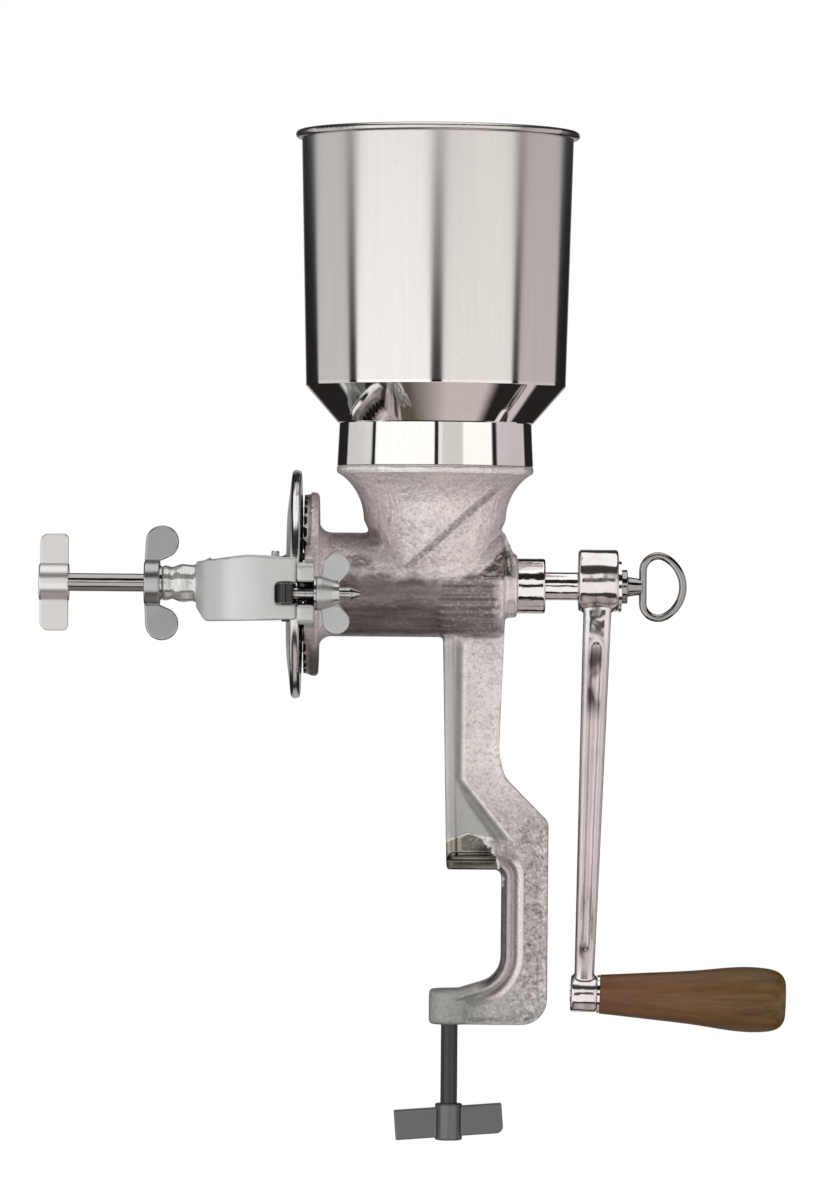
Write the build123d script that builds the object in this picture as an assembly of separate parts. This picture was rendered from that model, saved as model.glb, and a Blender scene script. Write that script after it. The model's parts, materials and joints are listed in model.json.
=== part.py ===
from build123d import *
from math import asin, cos, degrees, radians, sin
import os

# Hand crank grain and nut mill with a high hopper and a table clamp, in millimetres.
# Origin: centre of the clamp's upper jaw face. +X along the shaft towards the crank,
# +Y away from the viewer, +Z up.

# ---- layout ----
SHAFT_Z = 141.5  # the feed screw's axis over the jaw face
HOPPER_X = -21.5  # axis of throat and hopper
CLAMP_X = -12.0  # axis of the clamp screw
FIT = 0.05  # radial clearance of a shaft, pin or screw in its hole
SEAT = 0.05  # play where a ball or screw tip bears on another piece

# ---- barrel and plate flange ----
FLANGE_BACK_X = -79.0
FLANGE_T = 5.5
FLANGE_R = 46.0
FLANGE_FILLET = 6.0
BARREL_R = 26.0
BARREL_BORE_R = 20.5
BARREL_L = 92.5
BARREL_END_WALL = 5.0
RIB_COUNT = 7
RIB_R = 1.2
RIB_L = 28.0
RIB_TOP_ANGLE = 6.0  # degrees over the level of the shaft
RIB_STEP_ANGLE = 9.5

# ---- rear bearing and shaft ----
SHAFT_R = 7.0
BOSS_R = 16.0
BOSS_T = 6.5
BUSH_R = 13.75
BUSH_L = 14.0
BUSH_SLEEVE_R = 10.5
SHAFT_SHOWN_L = 16.5  # bare shaft between bush and crank

# ---- throat ----
THROAT_RIM_R = 49.3
THROAT_RIM_Z = 201.0
THROAT_RIM_H = 4.0
THROAT_MOUTH_R = 47.9  # where the bell starts under the rim
THROAT_NECK_R = 35.5
THROAT_NECK_Z = 174.0
THROAT_WALL = 4.2
SKIRT_FOOT_Z = 145.0  # where the skirt dies into the barrel
SKIRT_FOOT_X = 44.0
SKIRT_FOOT_Y = 51.0
SKIRT_CORNER = 9.0
FEED_HOLE_R = 19.0
GUSSET_T = 6.0

# ---- ears, yoke and swing bolts ----
BOLT_Y = 64.0
BOLT_DROP = 4.7  # the swing bolts lie this much below the shaft
EAR_T = 8.5
EAR_SET_IN = 1.5  # from the flange's back to the ear's back
EAR_H = 30.6
EAR_OUT = 7.0  # ear beyond the bolt's axis
EAR_ARM_T = 6.5
EAR_ROOT_H = 52.0
EAR_SLOT_H = 11.0
YOKE_DEPTH = 50.5
YOKE_T = 6.0
YOKE_H = 33.0
YOKE_NOSE_H = 21.0
YOKE_BEND_R = 35.0
YOKE_BOSS_R = 9.8
YOKE_BOSS_L = 18.0
YOKE_SLOT_H = 10.0
YOKE_SLOT_L = 10.5
EYE_R = 5.0
EYE_H = 9.6
EYE_BACK = 5.5  # from the yoke's end to the eye's pin
SWING_PIN_R = 2.0
SWING_PIN_L = 28.0
BOLT_R = 3.5
BOLT_TIP_L = 5.0
BOLT_PAST_NUT = 10.0
YOKE_WASHER_R = 8.5
WASHER_T = 1.0

# ---- grinding plates ----
PLATE_R = 45.0
PLATE_SEAT_CLEAR = 0.3
PLATE_SEAT_DEPTH = 2.5
PLATE_T = 4.5
TOOTH_H = 1.8
PLATE_EYE_R = 20.5
CARRIER_PLATE_EYE_R = 16.0
GRIND_GAP = 1.0
COARSE_TEETH = 12
FINE_TEETH = 36
TEETH_SPLIT_R = 34.0
COARSE_TOOTH_W = 5.0
FINE_TOOTH_W = 3.4
PLATE_SCREW_COUNT = 3
PLATE_SCREW_PCD_R = 27.5
PLATE_SCREW_R = 2.0
PLATE_SCREW_HEAD_R = 3.8
PLATE_SCREW_HEAD_H = 1.9

# ---- plate carrier ----
CARRIER_R = 57.5
CARRIER_WEB_T = 3.0
CARRIER_RIM_T = 4.5
CARRIER_DISH = 2.5  # how far the rim is dished towards the flange
CARRIER_DISH_R = 36.0
CARRIER_HUB_R = 14.0
CARRIER_HUB_L = 12.0
CARRIER_PIN_R = 2.0
SHAFT_NOSE_L = 6.5  # shaft beyond the carrier's hub

# ---- feed worm ----
WORM_R = 19.8
WORM_CORE_R = 9.5
WORM_PITCH = 30.0
WORM_L = 84.0
WORM_END_GAP = 4.0
FLIGHT_ROOT_T = 5.5
FLIGHT_TIP_T = 3.0

# ---- thrust ball and adjusting screw ----
BALL_R = 4.0
BALL_RECESS_R = 4.3
BALL_RECESS_L = 4.5
ADJUST_R = 4.5
ADJUST_SHOWN_L = 37.5
ADJUST_HEAD_L = 15.0
ADJUST_HEAD_R = 9.5
ADJUST_WING_SPAN = 48.5
ADJUST_WING_T = 3.0
ADJUST_WING_CORNER = 4.5
ADJUST_END_CAP = 3.0
LOCK_WASHER_R = 8.6
LOCK_HUB_R = 11.5
LOCK_HUB_L = 8.0
LOCK_PETAL_R = 8.3
LOCK_SPAN = 57.5
LOCK_LEAN = 5.0
LOCK_WING_T = 3.2
NUT_HUB_R = 7.5
NUT_NOSE_R = 5.6
NUT_HUB_L = 11.5
NUT_PETAL_R = 6.4
NUT_SPAN = 40.0
NUT_LEAN = 3.8
NUT_WING_T = 2.6

# ---- crank ----
CRANK_HEAD_R = 15.5
CRANK_HEAD_UP = 3.0  # the head's round stands this much above the shaft
CRANK_HEAD_L = 20.0
CRANK_SQUARE = 10.0
CRANK_THROW = 203.5
CRANK_LEAN = 5.5  # the arm's foot lies this much nearer the body
ARM_TOP_W = 14.0
ARM_FOOT_W = 9.5
ARM_TOP_D = 17.0
ARM_FOOT_D = 13.0
ARM_CORNER = 2.6
ARM_GROOVE_W = 5.0
ARM_GROOVE_DEEP = 1.6
ARM_GROOVE_ROUND = 2.4
FOOT_BOSS_R = 9.2
FOOT_BOSS_L = 13.2
GRIP_DROOP = 1.6  # degrees
CRANK_WASHER_R = 12.75
CRANK_WASHER_T = 1.6
RING_STEM_R = 3.0
RING_STEM_L = 22.0
RING_SHOULDER_R = 8.5
RING_SHOULDER_L = 3.0
RING_SHANK_R = 5.0
RING_SHANK_L = 7.0
RING_STOCK_R = 1.9
RING_W = 23.8
RING_H = 35.0
RING_FLAT = 16.0

# ---- grip ----
GRIP_L = 92.6
GRIP_NECK_R = 10.2
GRIP_BELLY_R = 16.0
GRIP_BELLY_AT = 81.6
GRIP_END_R = 9.5
GRIP_SINK_R = 6.0
GRIP_SINK_L = 5.0
AXLE_R = 4.0
AXLE_HEAD_R = 5.4
AXLE_HEAD_L = 3.0
HANDLE_WASHER_R = 9.6
HANDLE_WASHER_T = 1.2
GRIP_PLAY = 0.3

# ---- hopper ----
SHEET_T = 1.0
COLLAR_TOP_R = 48.0
COLLAR_FOOT_R = 49.0
COLLAR_H = 21.0
SPIGOT_R = 44.2
SPIGOT_L = 3.5
SPIGOT_CLEAR = 0.3
CONE_H = 20.3
HOPPER_FOOT_R = 65.0
HOPPER_RIM_R = 68.0
HOPPER_WALL_H = 124.0
RIM_BEAD_R = 2.0
RIM_WIRE_R = 1.1

# ---- leg and clamp frame ----
LEG_TOP_LEFT_X = -17.4
LEG_TOP_RIGHT_X = 14.2
LEG_WAIST_X = 11.6
LEG_WAIST_Z = 58.0
SHOULDER_X = 14.6
SHOULDER_Z = 46.0
CLAMP_BACK_X = 36.7
CLAMP_SHOULDER_Z = 23.6
CLAMP_FOOT_ROUND = 13.0
JAW_LEFT_X = -14.2
JAW_RIGHT_X = 13.4
JAW_W = 30.0
JAW_T = 7.0
CLAMP_GAP = 60.0
LOWER_ARM_H = 17.8
LOWER_RAMP_X = -7.8
LOWER_RAMP_Z = 53.5
GAP_FOOT_ROUND = 13.0
GAP_TOP_ROUND = 4.0
WEB_T = 9.0
LEG_FLANGE_W = 22.0
LEG_FLANGE_T = 5.0
LEG_COVE = ((6.6, 16.5), (8.4, 13.5), (10.4, 11.0))  # steps down to the web: reach and width
LEG_RIM_W = 2.2
LEG_RIM_UP = 1.0
CAST_ROUND = 1.4
CLAMP_BOSS_R = 10.4

# ---- clamp screw ----
CLAMP_SCREW_R = 4.15
CLAMP_TIP_R = 3.6
CLAMP_TIP_T = 3.0
CLAMP_TIP_SUNK = 0.8
CLAMP_SHOWN_L = 39.5
T_BAR_L = 54.0
T_BAR_H = 15.0
T_BAR_T = 5.0
T_BAR_CORNER = 3.5
T_HUB_R = 6.8
T_HUB_H = 18.4
T_BAR_LEAN = 4.4  # degrees

# ---- places that follow from the sizes ----
FLANGE_FACE_X = FLANGE_BACK_X - FLANGE_T
BARREL_END_X = FLANGE_BACK_X + BARREL_L
BOSS_END_X = BARREL_END_X + BOSS_T
BUSH_END_X = BOSS_END_X + BUSH_L
HEAD_X = BUSH_END_X + SHAFT_SHOWN_L
HEAD_END_X = HEAD_X + CRANK_HEAD_L
FIXED_BACK_X = FLANGE_FACE_X + PLATE_SEAT_DEPTH
FIXED_FACE_X = FIXED_BACK_X - PLATE_T
TURNING_FACE_X = FIXED_FACE_X - GRIND_GAP
TURNING_BACK_X = TURNING_FACE_X - PLATE_T
CARRIER_BACK_X = TURNING_BACK_X - CARRIER_WEB_T
CARRIER_HUB_X = CARRIER_BACK_X - CARRIER_HUB_L
SHAFT_NOSE_X = CARRIER_HUB_X - SHAFT_NOSE_L
RECESS_FLOOR_X = SHAFT_NOSE_X + BALL_RECESS_L
BALL_X = RECESS_FLOOR_X - SEAT - BALL_R
ADJUST_TIP_X = BALL_X - BALL_R - SEAT
BOLT_Z = SHAFT_Z - BOLT_DROP
EAR_BACK_X = FLANGE_BACK_X - EAR_SET_IN
EAR_FACE_X = EAR_BACK_X - EAR_T
YOKE_END_X = EAR_FACE_X
YOKE_OUT_X = YOKE_END_X - YOKE_DEPTH
YOKE_NOSE_X = YOKE_OUT_X - YOKE_BOSS_L
LOCK_HUB_X = YOKE_NOSE_X - WASHER_T
ADJUST_HEAD_X = LOCK_HUB_X - LOCK_HUB_L - ADJUST_SHOWN_L
EYE_X = YOKE_END_X - EYE_BACK
NUT_X = EAR_BACK_X + WASHER_T
COLLAR_TOP_Z = THROAT_RIM_Z + COLLAR_H
CONE_TOP_Z = COLLAR_TOP_Z + CONE_H
HOPPER_TOP_Z = CONE_TOP_Z + HOPPER_WALL_H
WORM_END_X = BARREL_END_X - BARREL_END_WALL - WORM_END_GAP
WORM_X = WORM_END_X - WORM_L
FOOT_Z = SHAFT_Z - CRANK_THROW
FOOT_X = HEAD_X + CRANK_HEAD_L / 2 - CRANK_LEAN
ARM_FOOT_BOTTOM_Z = -CLAMP_GAP - LOWER_ARM_H
CLAMP_TIP_Z = -CLAMP_GAP - CLAMP_TIP_SUNK
T_HUB_Z = ARM_FOOT_BOTTOM_Z - CLAMP_SHOWN_L


# ---- helpers ----
def x_rod(radius, x0, x1, y=0.0, z=SHAFT_Z):
    """A round bar along X from x0 to x1."""
    return Pos((x0 + x1) / 2, y, z) * Rot(0, 90, 0) * Cylinder(radius, abs(x1 - x0))


def z_rod(radius, z0, z1, x=0.0, y=0.0):
    """A round bar along Z from z0 to z1."""
    return Pos(x, y, (z0 + z1) / 2) * Cylinder(radius, abs(z1 - z0))


def block(x0, x1, y0, y1, z0, z1):
    """A box between two corners."""
    middle = Pos((x0 + x1) / 2, (y0 + y1) / 2, (z0 + z1) / 2)
    return middle * Box(abs(x1 - x0), abs(y1 - y0), abs(z1 - z0))


def rounded(corners):
    """A flat face through (u, v, rounding) corners."""
    face = make_face(Polyline(*[(u, v) for u, v, _ in corners], close=True))
    for u, v, rounding in corners:
        if rounding > 0:
            corner = face.vertices().sort_by_distance((u, v, 0))[0]
            face = fillet(corner, rounding)
    return face


def turned_x(corners, z=SHAFT_Z):
    """A body turned about the shaft's axis from (x, radius, rounding) corners."""
    return Pos(0, 0, z) * revolve(Plane.XZ * rounded(corners), Axis.X)


def turned_z(corners, x=HOPPER_X):
    """A body turned about a vertical axis from (radius, z, rounding) corners."""
    return Pos(x, 0, 0) * revolve(Plane.XZ * rounded(corners), Axis.Z)


def front_plate(face, thickness):
    """A face drawn in X and Z, given a thickness across Y about the middle plane."""
    return extrude(Plane.XZ * face, thickness / 2, both=True)


def eased(solid, rounding):
    """The plate with the edges of its front and back rounded."""
    flat = solid.faces().filter_by(Axis.Y)
    rim = flat.sort_by(Axis.Y)[0].edges() + flat.sort_by(Axis.Y)[-1].edges()
    return fillet(rim, rounding)


def mirrored(solid):
    """The same piece on the other side of the middle plane."""
    return mirror(solid, Plane.XZ)


# ---- the casting ----
def bell_radius():
    """Radius of the throat's hollow curve: upright at the neck, out to the mouth under the rim."""
    rise = THROAT_RIM_Z - THROAT_RIM_H - THROAT_NECK_Z
    flare = THROAT_MOUTH_R - THROAT_NECK_R
    return (rise**2 + flare**2) / (2 * flare)


def bell(wall):
    """The throat's bell above the neck, drawn in by a wall's thickness."""
    radius = bell_radius() + wall
    centre = THROAT_NECK_R + bell_radius()
    bend_z = THROAT_RIM_Z - THROAT_RIM_H
    sweep_angle = degrees(asin((bend_z - THROAT_NECK_Z) / radius))
    curve = CenterArc((centre, THROAT_NECK_Z), radius, 180, -sweep_angle)
    neck = (centre - radius, THROAT_NECK_Z)
    mouth = (centre - radius * cos(radians(sweep_angle)), bend_z)
    edge = Polyline(mouth, (0, bend_z), (0, THROAT_NECK_Z), neck)
    return Pos(HOPPER_X, 0, 0) * revolve(Plane.XZ * make_face(curve + edge), Axis.Z)


def throat():
    rim = turned_z(
        [
            (0, THROAT_RIM_Z - THROAT_RIM_H, 0),
            (THROAT_RIM_R, THROAT_RIM_Z - THROAT_RIM_H, 1.2),
            (THROAT_RIM_R, THROAT_RIM_Z, 0.8),
            (0, THROAT_RIM_Z, 0),
        ]
    )
    top = Plane.XY.offset(THROAT_NECK_Z) * Pos(HOPPER_X, 0) * Circle(THROAT_NECK_R)
    foot_shape = RectangleRounded(SKIRT_FOOT_X, SKIRT_FOOT_Y, SKIRT_CORNER)
    foot = Plane.XY.offset(SKIRT_FOOT_Z) * Pos(HOPPER_X, 0) * foot_shape
    return rim + bell(0) + loft([foot, top], ruled=True)


def throat_hollow():
    neck_r = THROAT_NECK_R - THROAT_WALL
    funnel_foot_z = SHAFT_Z + BARREL_BORE_R / 2
    funnel = turned_z(
        [
            (0, funnel_foot_z, 0),
            (FEED_HOLE_R, funnel_foot_z, 0),
            (neck_r, THROAT_NECK_Z, 0),
            (0, THROAT_NECK_Z, 0),
        ]
    )
    socket_z = THROAT_RIM_Z - THROAT_RIM_H
    socket = z_rod(SPIGOT_R + SPIGOT_CLEAR, socket_z, THROAT_RIM_Z, HOPPER_X)
    return funnel + bell(THROAT_WALL) + socket


def barrel():
    return turned_x(
        [
            (FLANGE_FACE_X, 0, 0),
            (FLANGE_FACE_X, FLANGE_R, 1.8),
            (FLANGE_BACK_X, FLANGE_R, 2.2),
            (FLANGE_BACK_X, BARREL_R, FLANGE_FILLET),
            (BARREL_END_X, BARREL_R, 3.0),
            (BARREL_END_X, BOSS_R, 2.0),
            (BOSS_END_X, BOSS_R, 1.5),
            (BOSS_END_X, 0, 0),
        ]
    )


def barrel_ribs():
    """Level ribs cast on the barrel's front, towards its rear end."""
    reach = BARREL_R - 0.3 * RIB_R
    rib_end = BARREL_END_X - 4.0
    ribs = []
    for number in range(RIB_COUNT):
        angle = radians(RIB_TOP_ANGLE - number * RIB_STEP_ANGLE)
        ribs.append(x_rod(RIB_R, rib_end - RIB_L, rib_end, -reach * cos(angle), SHAFT_Z + reach * sin(angle)))
    return ribs


def barrel_hollow():
    bore_end = BARREL_END_X - BARREL_END_WALL
    bore = x_rod(BARREL_BORE_R, FLANGE_FACE_X, bore_end)
    seat = x_rod(PLATE_R + PLATE_SEAT_CLEAR, FLANGE_FACE_X - 1, FIXED_BACK_X)
    sleeve = x_rod(BUSH_SLEEVE_R + FIT, bore_end - 1, BOSS_END_X + 1)
    return bore + seat + sleeve + plate_screw_holes(FIXED_BACK_X, 1)


def ear():
    """The slotted ear at the front that a swing bolt drops into."""
    outer_y = BOLT_Y + EAR_OUT
    pad_y = CARRIER_R + 3.0
    arm_face_x = EAR_BACK_X + EAR_SET_IN - EAR_ARM_T
    root_y = FLANGE_R * 0.78
    arm = rounded(
        [
            (-root_y, BOLT_Z - EAR_ROOT_H / 2, 0),
            (-pad_y, BOLT_Z - EAR_H / 2, 6.0),
            (-outer_y, BOLT_Z - EAR_H / 2, 4.0),
            (-outer_y, BOLT_Z + EAR_H / 2, 4.0),
            (-pad_y, BOLT_Z + EAR_H / 2, 6.0),
            (-root_y, BOLT_Z + EAR_ROOT_H / 2, 0),
        ]
    )
    arm_t = EAR_BACK_X - arm_face_x
    arm = extrude(Plane.YZ.offset(arm_face_x) * arm, arm_t)
    pad = block(EAR_FACE_X, EAR_BACK_X, -outer_y, -pad_y, BOLT_Z - EAR_H / 2, BOLT_Z + EAR_H / 2)
    pad = fillet(pad.edges().filter_by(Axis.X).group_by(Axis.Y)[0], 4.0)
    slot = x_rod(EAR_SLOT_H / 2, EAR_FACE_X - 1, EAR_BACK_X + 3, -BOLT_Y, BOLT_Z)
    half = EAR_SLOT_H / 2
    slot += block(EAR_FACE_X - 1, EAR_BACK_X + 3, -outer_y - 1, -BOLT_Y, BOLT_Z - half, BOLT_Z + half)
    return arm + pad - slot


def clamp_gap_outline(left):
    """Everything to the left of the leg, the clamp's open gap included."""
    return rounded(
        [
            (left, SHAFT_Z, 0),
            (LEG_TOP_LEFT_X, SHAFT_Z, 0),
            (JAW_LEFT_X, 0, 0),
            (JAW_RIGHT_X, 0, GAP_TOP_ROUND),
            (JAW_RIGHT_X, -LOWER_RAMP_Z, GAP_FOOT_ROUND),
            (LOWER_RAMP_X, -CLAMP_GAP, 0),
            (left, -CLAMP_GAP, 0),
        ]
    )


def leg():
    """The leg with the C-shaped clamp frame: a web, a wide flange inside, a thin rim outside."""
    left = CLAMP_X - CLAMP_BOSS_R
    outline = rounded(
        [
            (left, SHAFT_Z - BARREL_R / 2, 0),
            (LEG_TOP_RIGHT_X, SHAFT_Z - BARREL_R / 2, 0),
            (LEG_WAIST_X, LEG_WAIST_Z, 30.0),
            (SHOULDER_X, SHOULDER_Z, 12.0),
            (CLAMP_BACK_X, CLAMP_SHOULDER_Z, 5.0),
            (CLAMP_BACK_X, ARM_FOOT_BOTTOM_Z, CLAMP_FOOT_ROUND),
            (left, ARM_FOOT_BOTTOM_Z, 0),
        ]
    )
    gap = clamp_gap_outline(left * 3)
    frame = outline - gap
    boss_z = -CLAMP_GAP - LOWER_ARM_H / 2
    behind_boss = Pos(CLAMP_X - CLAMP_BOSS_R, boss_z) * Rectangle(2 * CLAMP_BOSS_R, 2 * LOWER_ARM_H)
    web_face = frame - behind_boss
    web = eased(front_plate(web_face, WEB_T), CAST_ROUND)
    rim_face = web_face - offset(outline, -LEG_RIM_W)
    rim = front_plate(rim_face, WEB_T + 2 * LEG_RIM_UP)
    flange_face = web_face & offset(gap, LEG_FLANGE_T)
    flange = eased(front_plate(flange_face, LEG_FLANGE_W), CAST_ROUND)
    fan = rounded([(JAW_LEFT_X, 38.0, 0), (-10.0, 30.0, 12.0), (4.0, 11.0, 0), (4.0, -2.0, 0), (JAW_LEFT_X, -2.0, 0)])
    cove = [front_plate(web_face & offset(gap + fan, reach), width) for reach, width in LEG_COVE]
    jaw = block(JAW_LEFT_X, JAW_RIGHT_X, -JAW_W / 2, JAW_W / 2, 0, JAW_T)
    jaw = fillet(jaw.edges().filter_by(Axis.Z), 3.0)
    jaw = chamfer(jaw.faces().sort_by(Axis.Z)[-1].edges(), 2.0)
    boss = z_rod(CLAMP_BOSS_R, ARM_FOOT_BOTTOM_Z, -CLAMP_GAP, CLAMP_X)
    boss = fillet(boss.edges().filter_by(GeomType.CIRCLE), 2.0)
    hole = z_rod(CLAMP_SCREW_R + FIT, ARM_FOOT_BOTTOM_Z - 1, -CLAMP_GAP + 1, CLAMP_X)
    return web + rim + flange + cove + jaw + boss - hole


def gusset():
    """The rib between the throat and the rear boss."""
    top_x = HOPPER_X + THROAT_NECK_R
    face = rounded(
        [
            (top_x - 6.0, THROAT_NECK_Z - 4.0, 0),
            (top_x - 0.5, THROAT_NECK_Z - 6.0, 0),
            (BOSS_END_X - 1.5, SHAFT_Z + BOSS_R - 1.0, 0),
            (BOSS_END_X - 1.5, SHAFT_Z + BOSS_R - 6.0, 0),
            (top_x - 6.0, SHAFT_Z + BOSS_R - 6.0, 0),
        ]
    )
    return front_plate(face, GUSSET_T)


def mill_body():
    solid = barrel() + barrel_ribs() + throat() + leg() + gusset() + ear() + mirrored(ear())
    return solid - barrel_hollow() - throat_hollow()


def rear_bearing_bush():
    inner_end = BARREL_END_X - BARREL_END_WALL
    sleeve = turned_x(
        [
            (inner_end, SHAFT_R + FIT, 0),
            (inner_end, BUSH_SLEEVE_R, 0),
            (BOSS_END_X, BUSH_SLEEVE_R, 0),
            (BOSS_END_X, BUSH_R, 0.6),
            (BUSH_END_X, BUSH_R, 1.2),
            (BUSH_END_X, SHAFT_R + FIT, 0),
        ]
    )
    return sleeve


# ---- grinding plates ----
def plate_screw_holes(back_x, way):
    """Pilot holes behind a plate; way is +1 where the screws enter towards +X."""
    holes = Part()
    for n in range(PLATE_SCREW_COUNT):
        angle = 360 / PLATE_SCREW_COUNT * n
        hole = x_rod(PLATE_SCREW_R, back_x - way, back_x + way * (CARRIER_WEB_T - 0.8), 0, PLATE_SCREW_PCD_R)
        holes += Pos(0, 0, SHAFT_Z) * Rot(angle, 0, 0) * hole
    return holes


def tooth(inner_r, outer_r, width):
    """A ridge along Z, wedge-shaped in plan, on a face that looks towards +X."""
    def section(radius):
        half = width * radius / outer_r / 2
        outline = make_face(Polyline((-0.6, -half), (0, -half), (TOOTH_H, 0), (0, half), (-0.6, half), close=True))
        return Plane(origin=(0, 0, radius), x_dir=(1, 0, 0), z_dir=(0, 0, 1)) * outline

    return loft([section(inner_r), section(outer_r)], ruled=True)


def grinding_plate(eye_r):
    """A toothed plate with its back at X = 0 and its teeth towards +X, about the X axis."""
    face_x = PLATE_T - TOOTH_H
    plate = Rot(0, 90, 0) * Cylinder(PLATE_R, face_x, align=(Align.CENTER, Align.CENTER, Align.MIN))
    ridges = []
    for n in range(COARSE_TEETH):
        ridge = Pos(face_x, 0, 0) * tooth(PLATE_EYE_R + 0.8, TEETH_SPLIT_R - 0.6, COARSE_TOOTH_W)
        ridges.append(Rot(360 / COARSE_TEETH * (n + 0.5), 0, 0) * ridge)
    for n in range(FINE_TEETH):
        ridge = Pos(face_x, 0, 0) * tooth(TEETH_SPLIT_R + 0.4, PLATE_R - 0.4, FINE_TOOTH_W)
        ridges.append(Rot(360 / FINE_TEETH * n, 0, 0) * ridge)
    plate = plate.fuse(*ridges)
    plate -= Rot(0, 90, 0) * Cylinder(eye_r, 4 * PLATE_T)
    for n in range(PLATE_SCREW_COUNT):
        turn = Rot(360 / PLATE_SCREW_COUNT * n, 0, 0) * Pos(0, 0, PLATE_SCREW_PCD_R)
        head_x = face_x - PLATE_SCREW_HEAD_H
        sink = Cone(PLATE_SCREW_R + FIT, PLATE_SCREW_HEAD_R + FIT, PLATE_SCREW_HEAD_H)
        clear = Cylinder(PLATE_SCREW_HEAD_R + FIT, 2 * TOOTH_H)
        plate -= turn * Rot(0, 90, 0) * Cylinder(PLATE_SCREW_R + FIT, 4 * PLATE_T)
        plate -= turn * Pos(head_x + PLATE_SCREW_HEAD_H / 2, 0, 0) * Rot(0, 90, 0) * sink
        plate -= turn * Pos(face_x + TOOTH_H, 0, 0) * Rot(0, 90, 0) * clear
    return plate


def plate_screws():
    """Countersunk screws of a plate whose back is at X = 0 and whose teeth look to +X."""
    screws = []
    face_x = PLATE_T - TOOTH_H
    for n in range(PLATE_SCREW_COUNT):
        turn = Rot(360 / PLATE_SCREW_COUNT * n, 0, 0) * Pos(0, 0, PLATE_SCREW_PCD_R)
        head = Cone(PLATE_SCREW_R, PLATE_SCREW_HEAD_R, PLATE_SCREW_HEAD_H)
        stem_l = face_x + CARRIER_WEB_T - 1.0
        stem = Pos(face_x - stem_l / 2, 0, 0) * Rot(0, 90, 0) * Cylinder(PLATE_SCREW_R - FIT, stem_l)
        screw = Pos(face_x - PLATE_SCREW_HEAD_H / 2, 0, 0) * Rot(0, 90, 0) * head + stem
        screw -= Pos(face_x, 0, 0) * Box(1.4, 1.0, 2 * PLATE_SCREW_HEAD_R)
        screws.append(turn * screw)
    return screws


def facing_left(shape):
    """Turned about Z so that what looked to +X looks to -X, seated in the flange."""
    return Pos(FIXED_BACK_X, 0, SHAFT_Z) * Rot(0, 0, 180) * shape


def facing_right(shape):
    """Looking to +X, seated in the carrier."""
    return Pos(TURNING_BACK_X, 0, SHAFT_Z) * shape


def plate_carrier():
    rim_x = CARRIER_BACK_X + CARRIER_DISH
    disc = turned_x(
        [
            (CARRIER_HUB_X, SHAFT_R + FIT, 0),
            (CARRIER_HUB_X, CARRIER_HUB_R, 1.5),
            (CARRIER_BACK_X, CARRIER_HUB_R, 3.0),
            (CARRIER_BACK_X, CARRIER_DISH_R, 12.0),
            (rim_x, CARRIER_R, 2.0),
            (rim_x + CARRIER_RIM_T, CARRIER_R - 0.8, 1.6),
            (rim_x + CARRIER_RIM_T, PLATE_R + PLATE_SEAT_CLEAR, 0),
            (TURNING_BACK_X, PLATE_R + PLATE_SEAT_CLEAR, 0),
            (TURNING_BACK_X, SHAFT_R + FIT, 0),
        ]
    )
    pin_x = (CARRIER_HUB_X + CARRIER_BACK_X) / 2
    pin_hole = z_rod(CARRIER_PIN_R + FIT, SHAFT_Z - 30, SHAFT_Z + 30, pin_x)
    return disc - pin_hole - plate_screw_holes(TURNING_BACK_X, -1)


def carrier_pin():
    pin_x = (CARRIER_HUB_X + CARRIER_BACK_X) / 2
    reach = CARRIER_HUB_R + 2.5
    pin = z_rod(CARRIER_PIN_R, SHAFT_Z - reach, SHAFT_Z + reach, pin_x)
    return chamfer(pin.edges().filter_by(GeomType.CIRCLE), 0.5)


# ---- feed screw ----
def flight():
    """The left-handed helical flight: clockwise cranking carries the feed towards the plates."""
    turns_l = WORM_L - FLIGHT_ROOT_T
    path = Helix(WORM_PITCH, turns_l, WORM_CORE_R, lefthand=True)
    start = path @ 0
    depth = WORM_R - WORM_CORE_R
    section = make_face(
        Polyline(
            (-0.8, -FLIGHT_ROOT_T / 2),
            (depth, -FLIGHT_TIP_T / 2),
            (depth, FLIGHT_TIP_T / 2),
            (-0.8, FLIGHT_ROOT_T / 2),
            close=True,
        )
    )
    frame = Plane(origin=start, x_dir=(1, 0, 0), z_dir=(0, 1, 0))
    blade = sweep(frame * section, path=path, is_frenet=True)
    return Pos(WORM_X + FLIGHT_ROOT_T / 2, 0, SHAFT_Z) * Rot(0, 90, 0) * blade


def feed_screw():
    shaft = turned_x(
        [
            (SHAFT_NOSE_X, 0, 0),
            (SHAFT_NOSE_X, SHAFT_R, 0.8),
            (WORM_X - 3.0, SHAFT_R, 0),
            (WORM_X, WORM_CORE_R, 0),
            (WORM_END_X, WORM_CORE_R, 1.0),
            (WORM_END_X, SHAFT_R, 0),
            (HEAD_X, SHAFT_R, 0.5),
            (HEAD_X, 0, 0),
        ]
    )
    square_end = HEAD_END_X - 1.0
    square = block(HEAD_X, square_end, -CRANK_SQUARE / 2, CRANK_SQUARE / 2, 0, CRANK_SQUARE)
    square = Pos(0, 0, SHAFT_Z - CRANK_SQUARE / 2) * square
    recess = x_rod(BALL_RECESS_R, SHAFT_NOSE_X - 1, RECESS_FLOOR_X)
    pin_x = (CARRIER_HUB_X + CARRIER_BACK_X) / 2
    pin_hole = z_rod(CARRIER_PIN_R + FIT, SHAFT_Z - 30, SHAFT_Z + 30, pin_x)
    tapped = x_rod(RING_STEM_R + FIT, HEAD_END_X - RING_STEM_L - 1.5, HEAD_END_X)
    return shaft + square + flight() - recess - pin_hole - tapped


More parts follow.
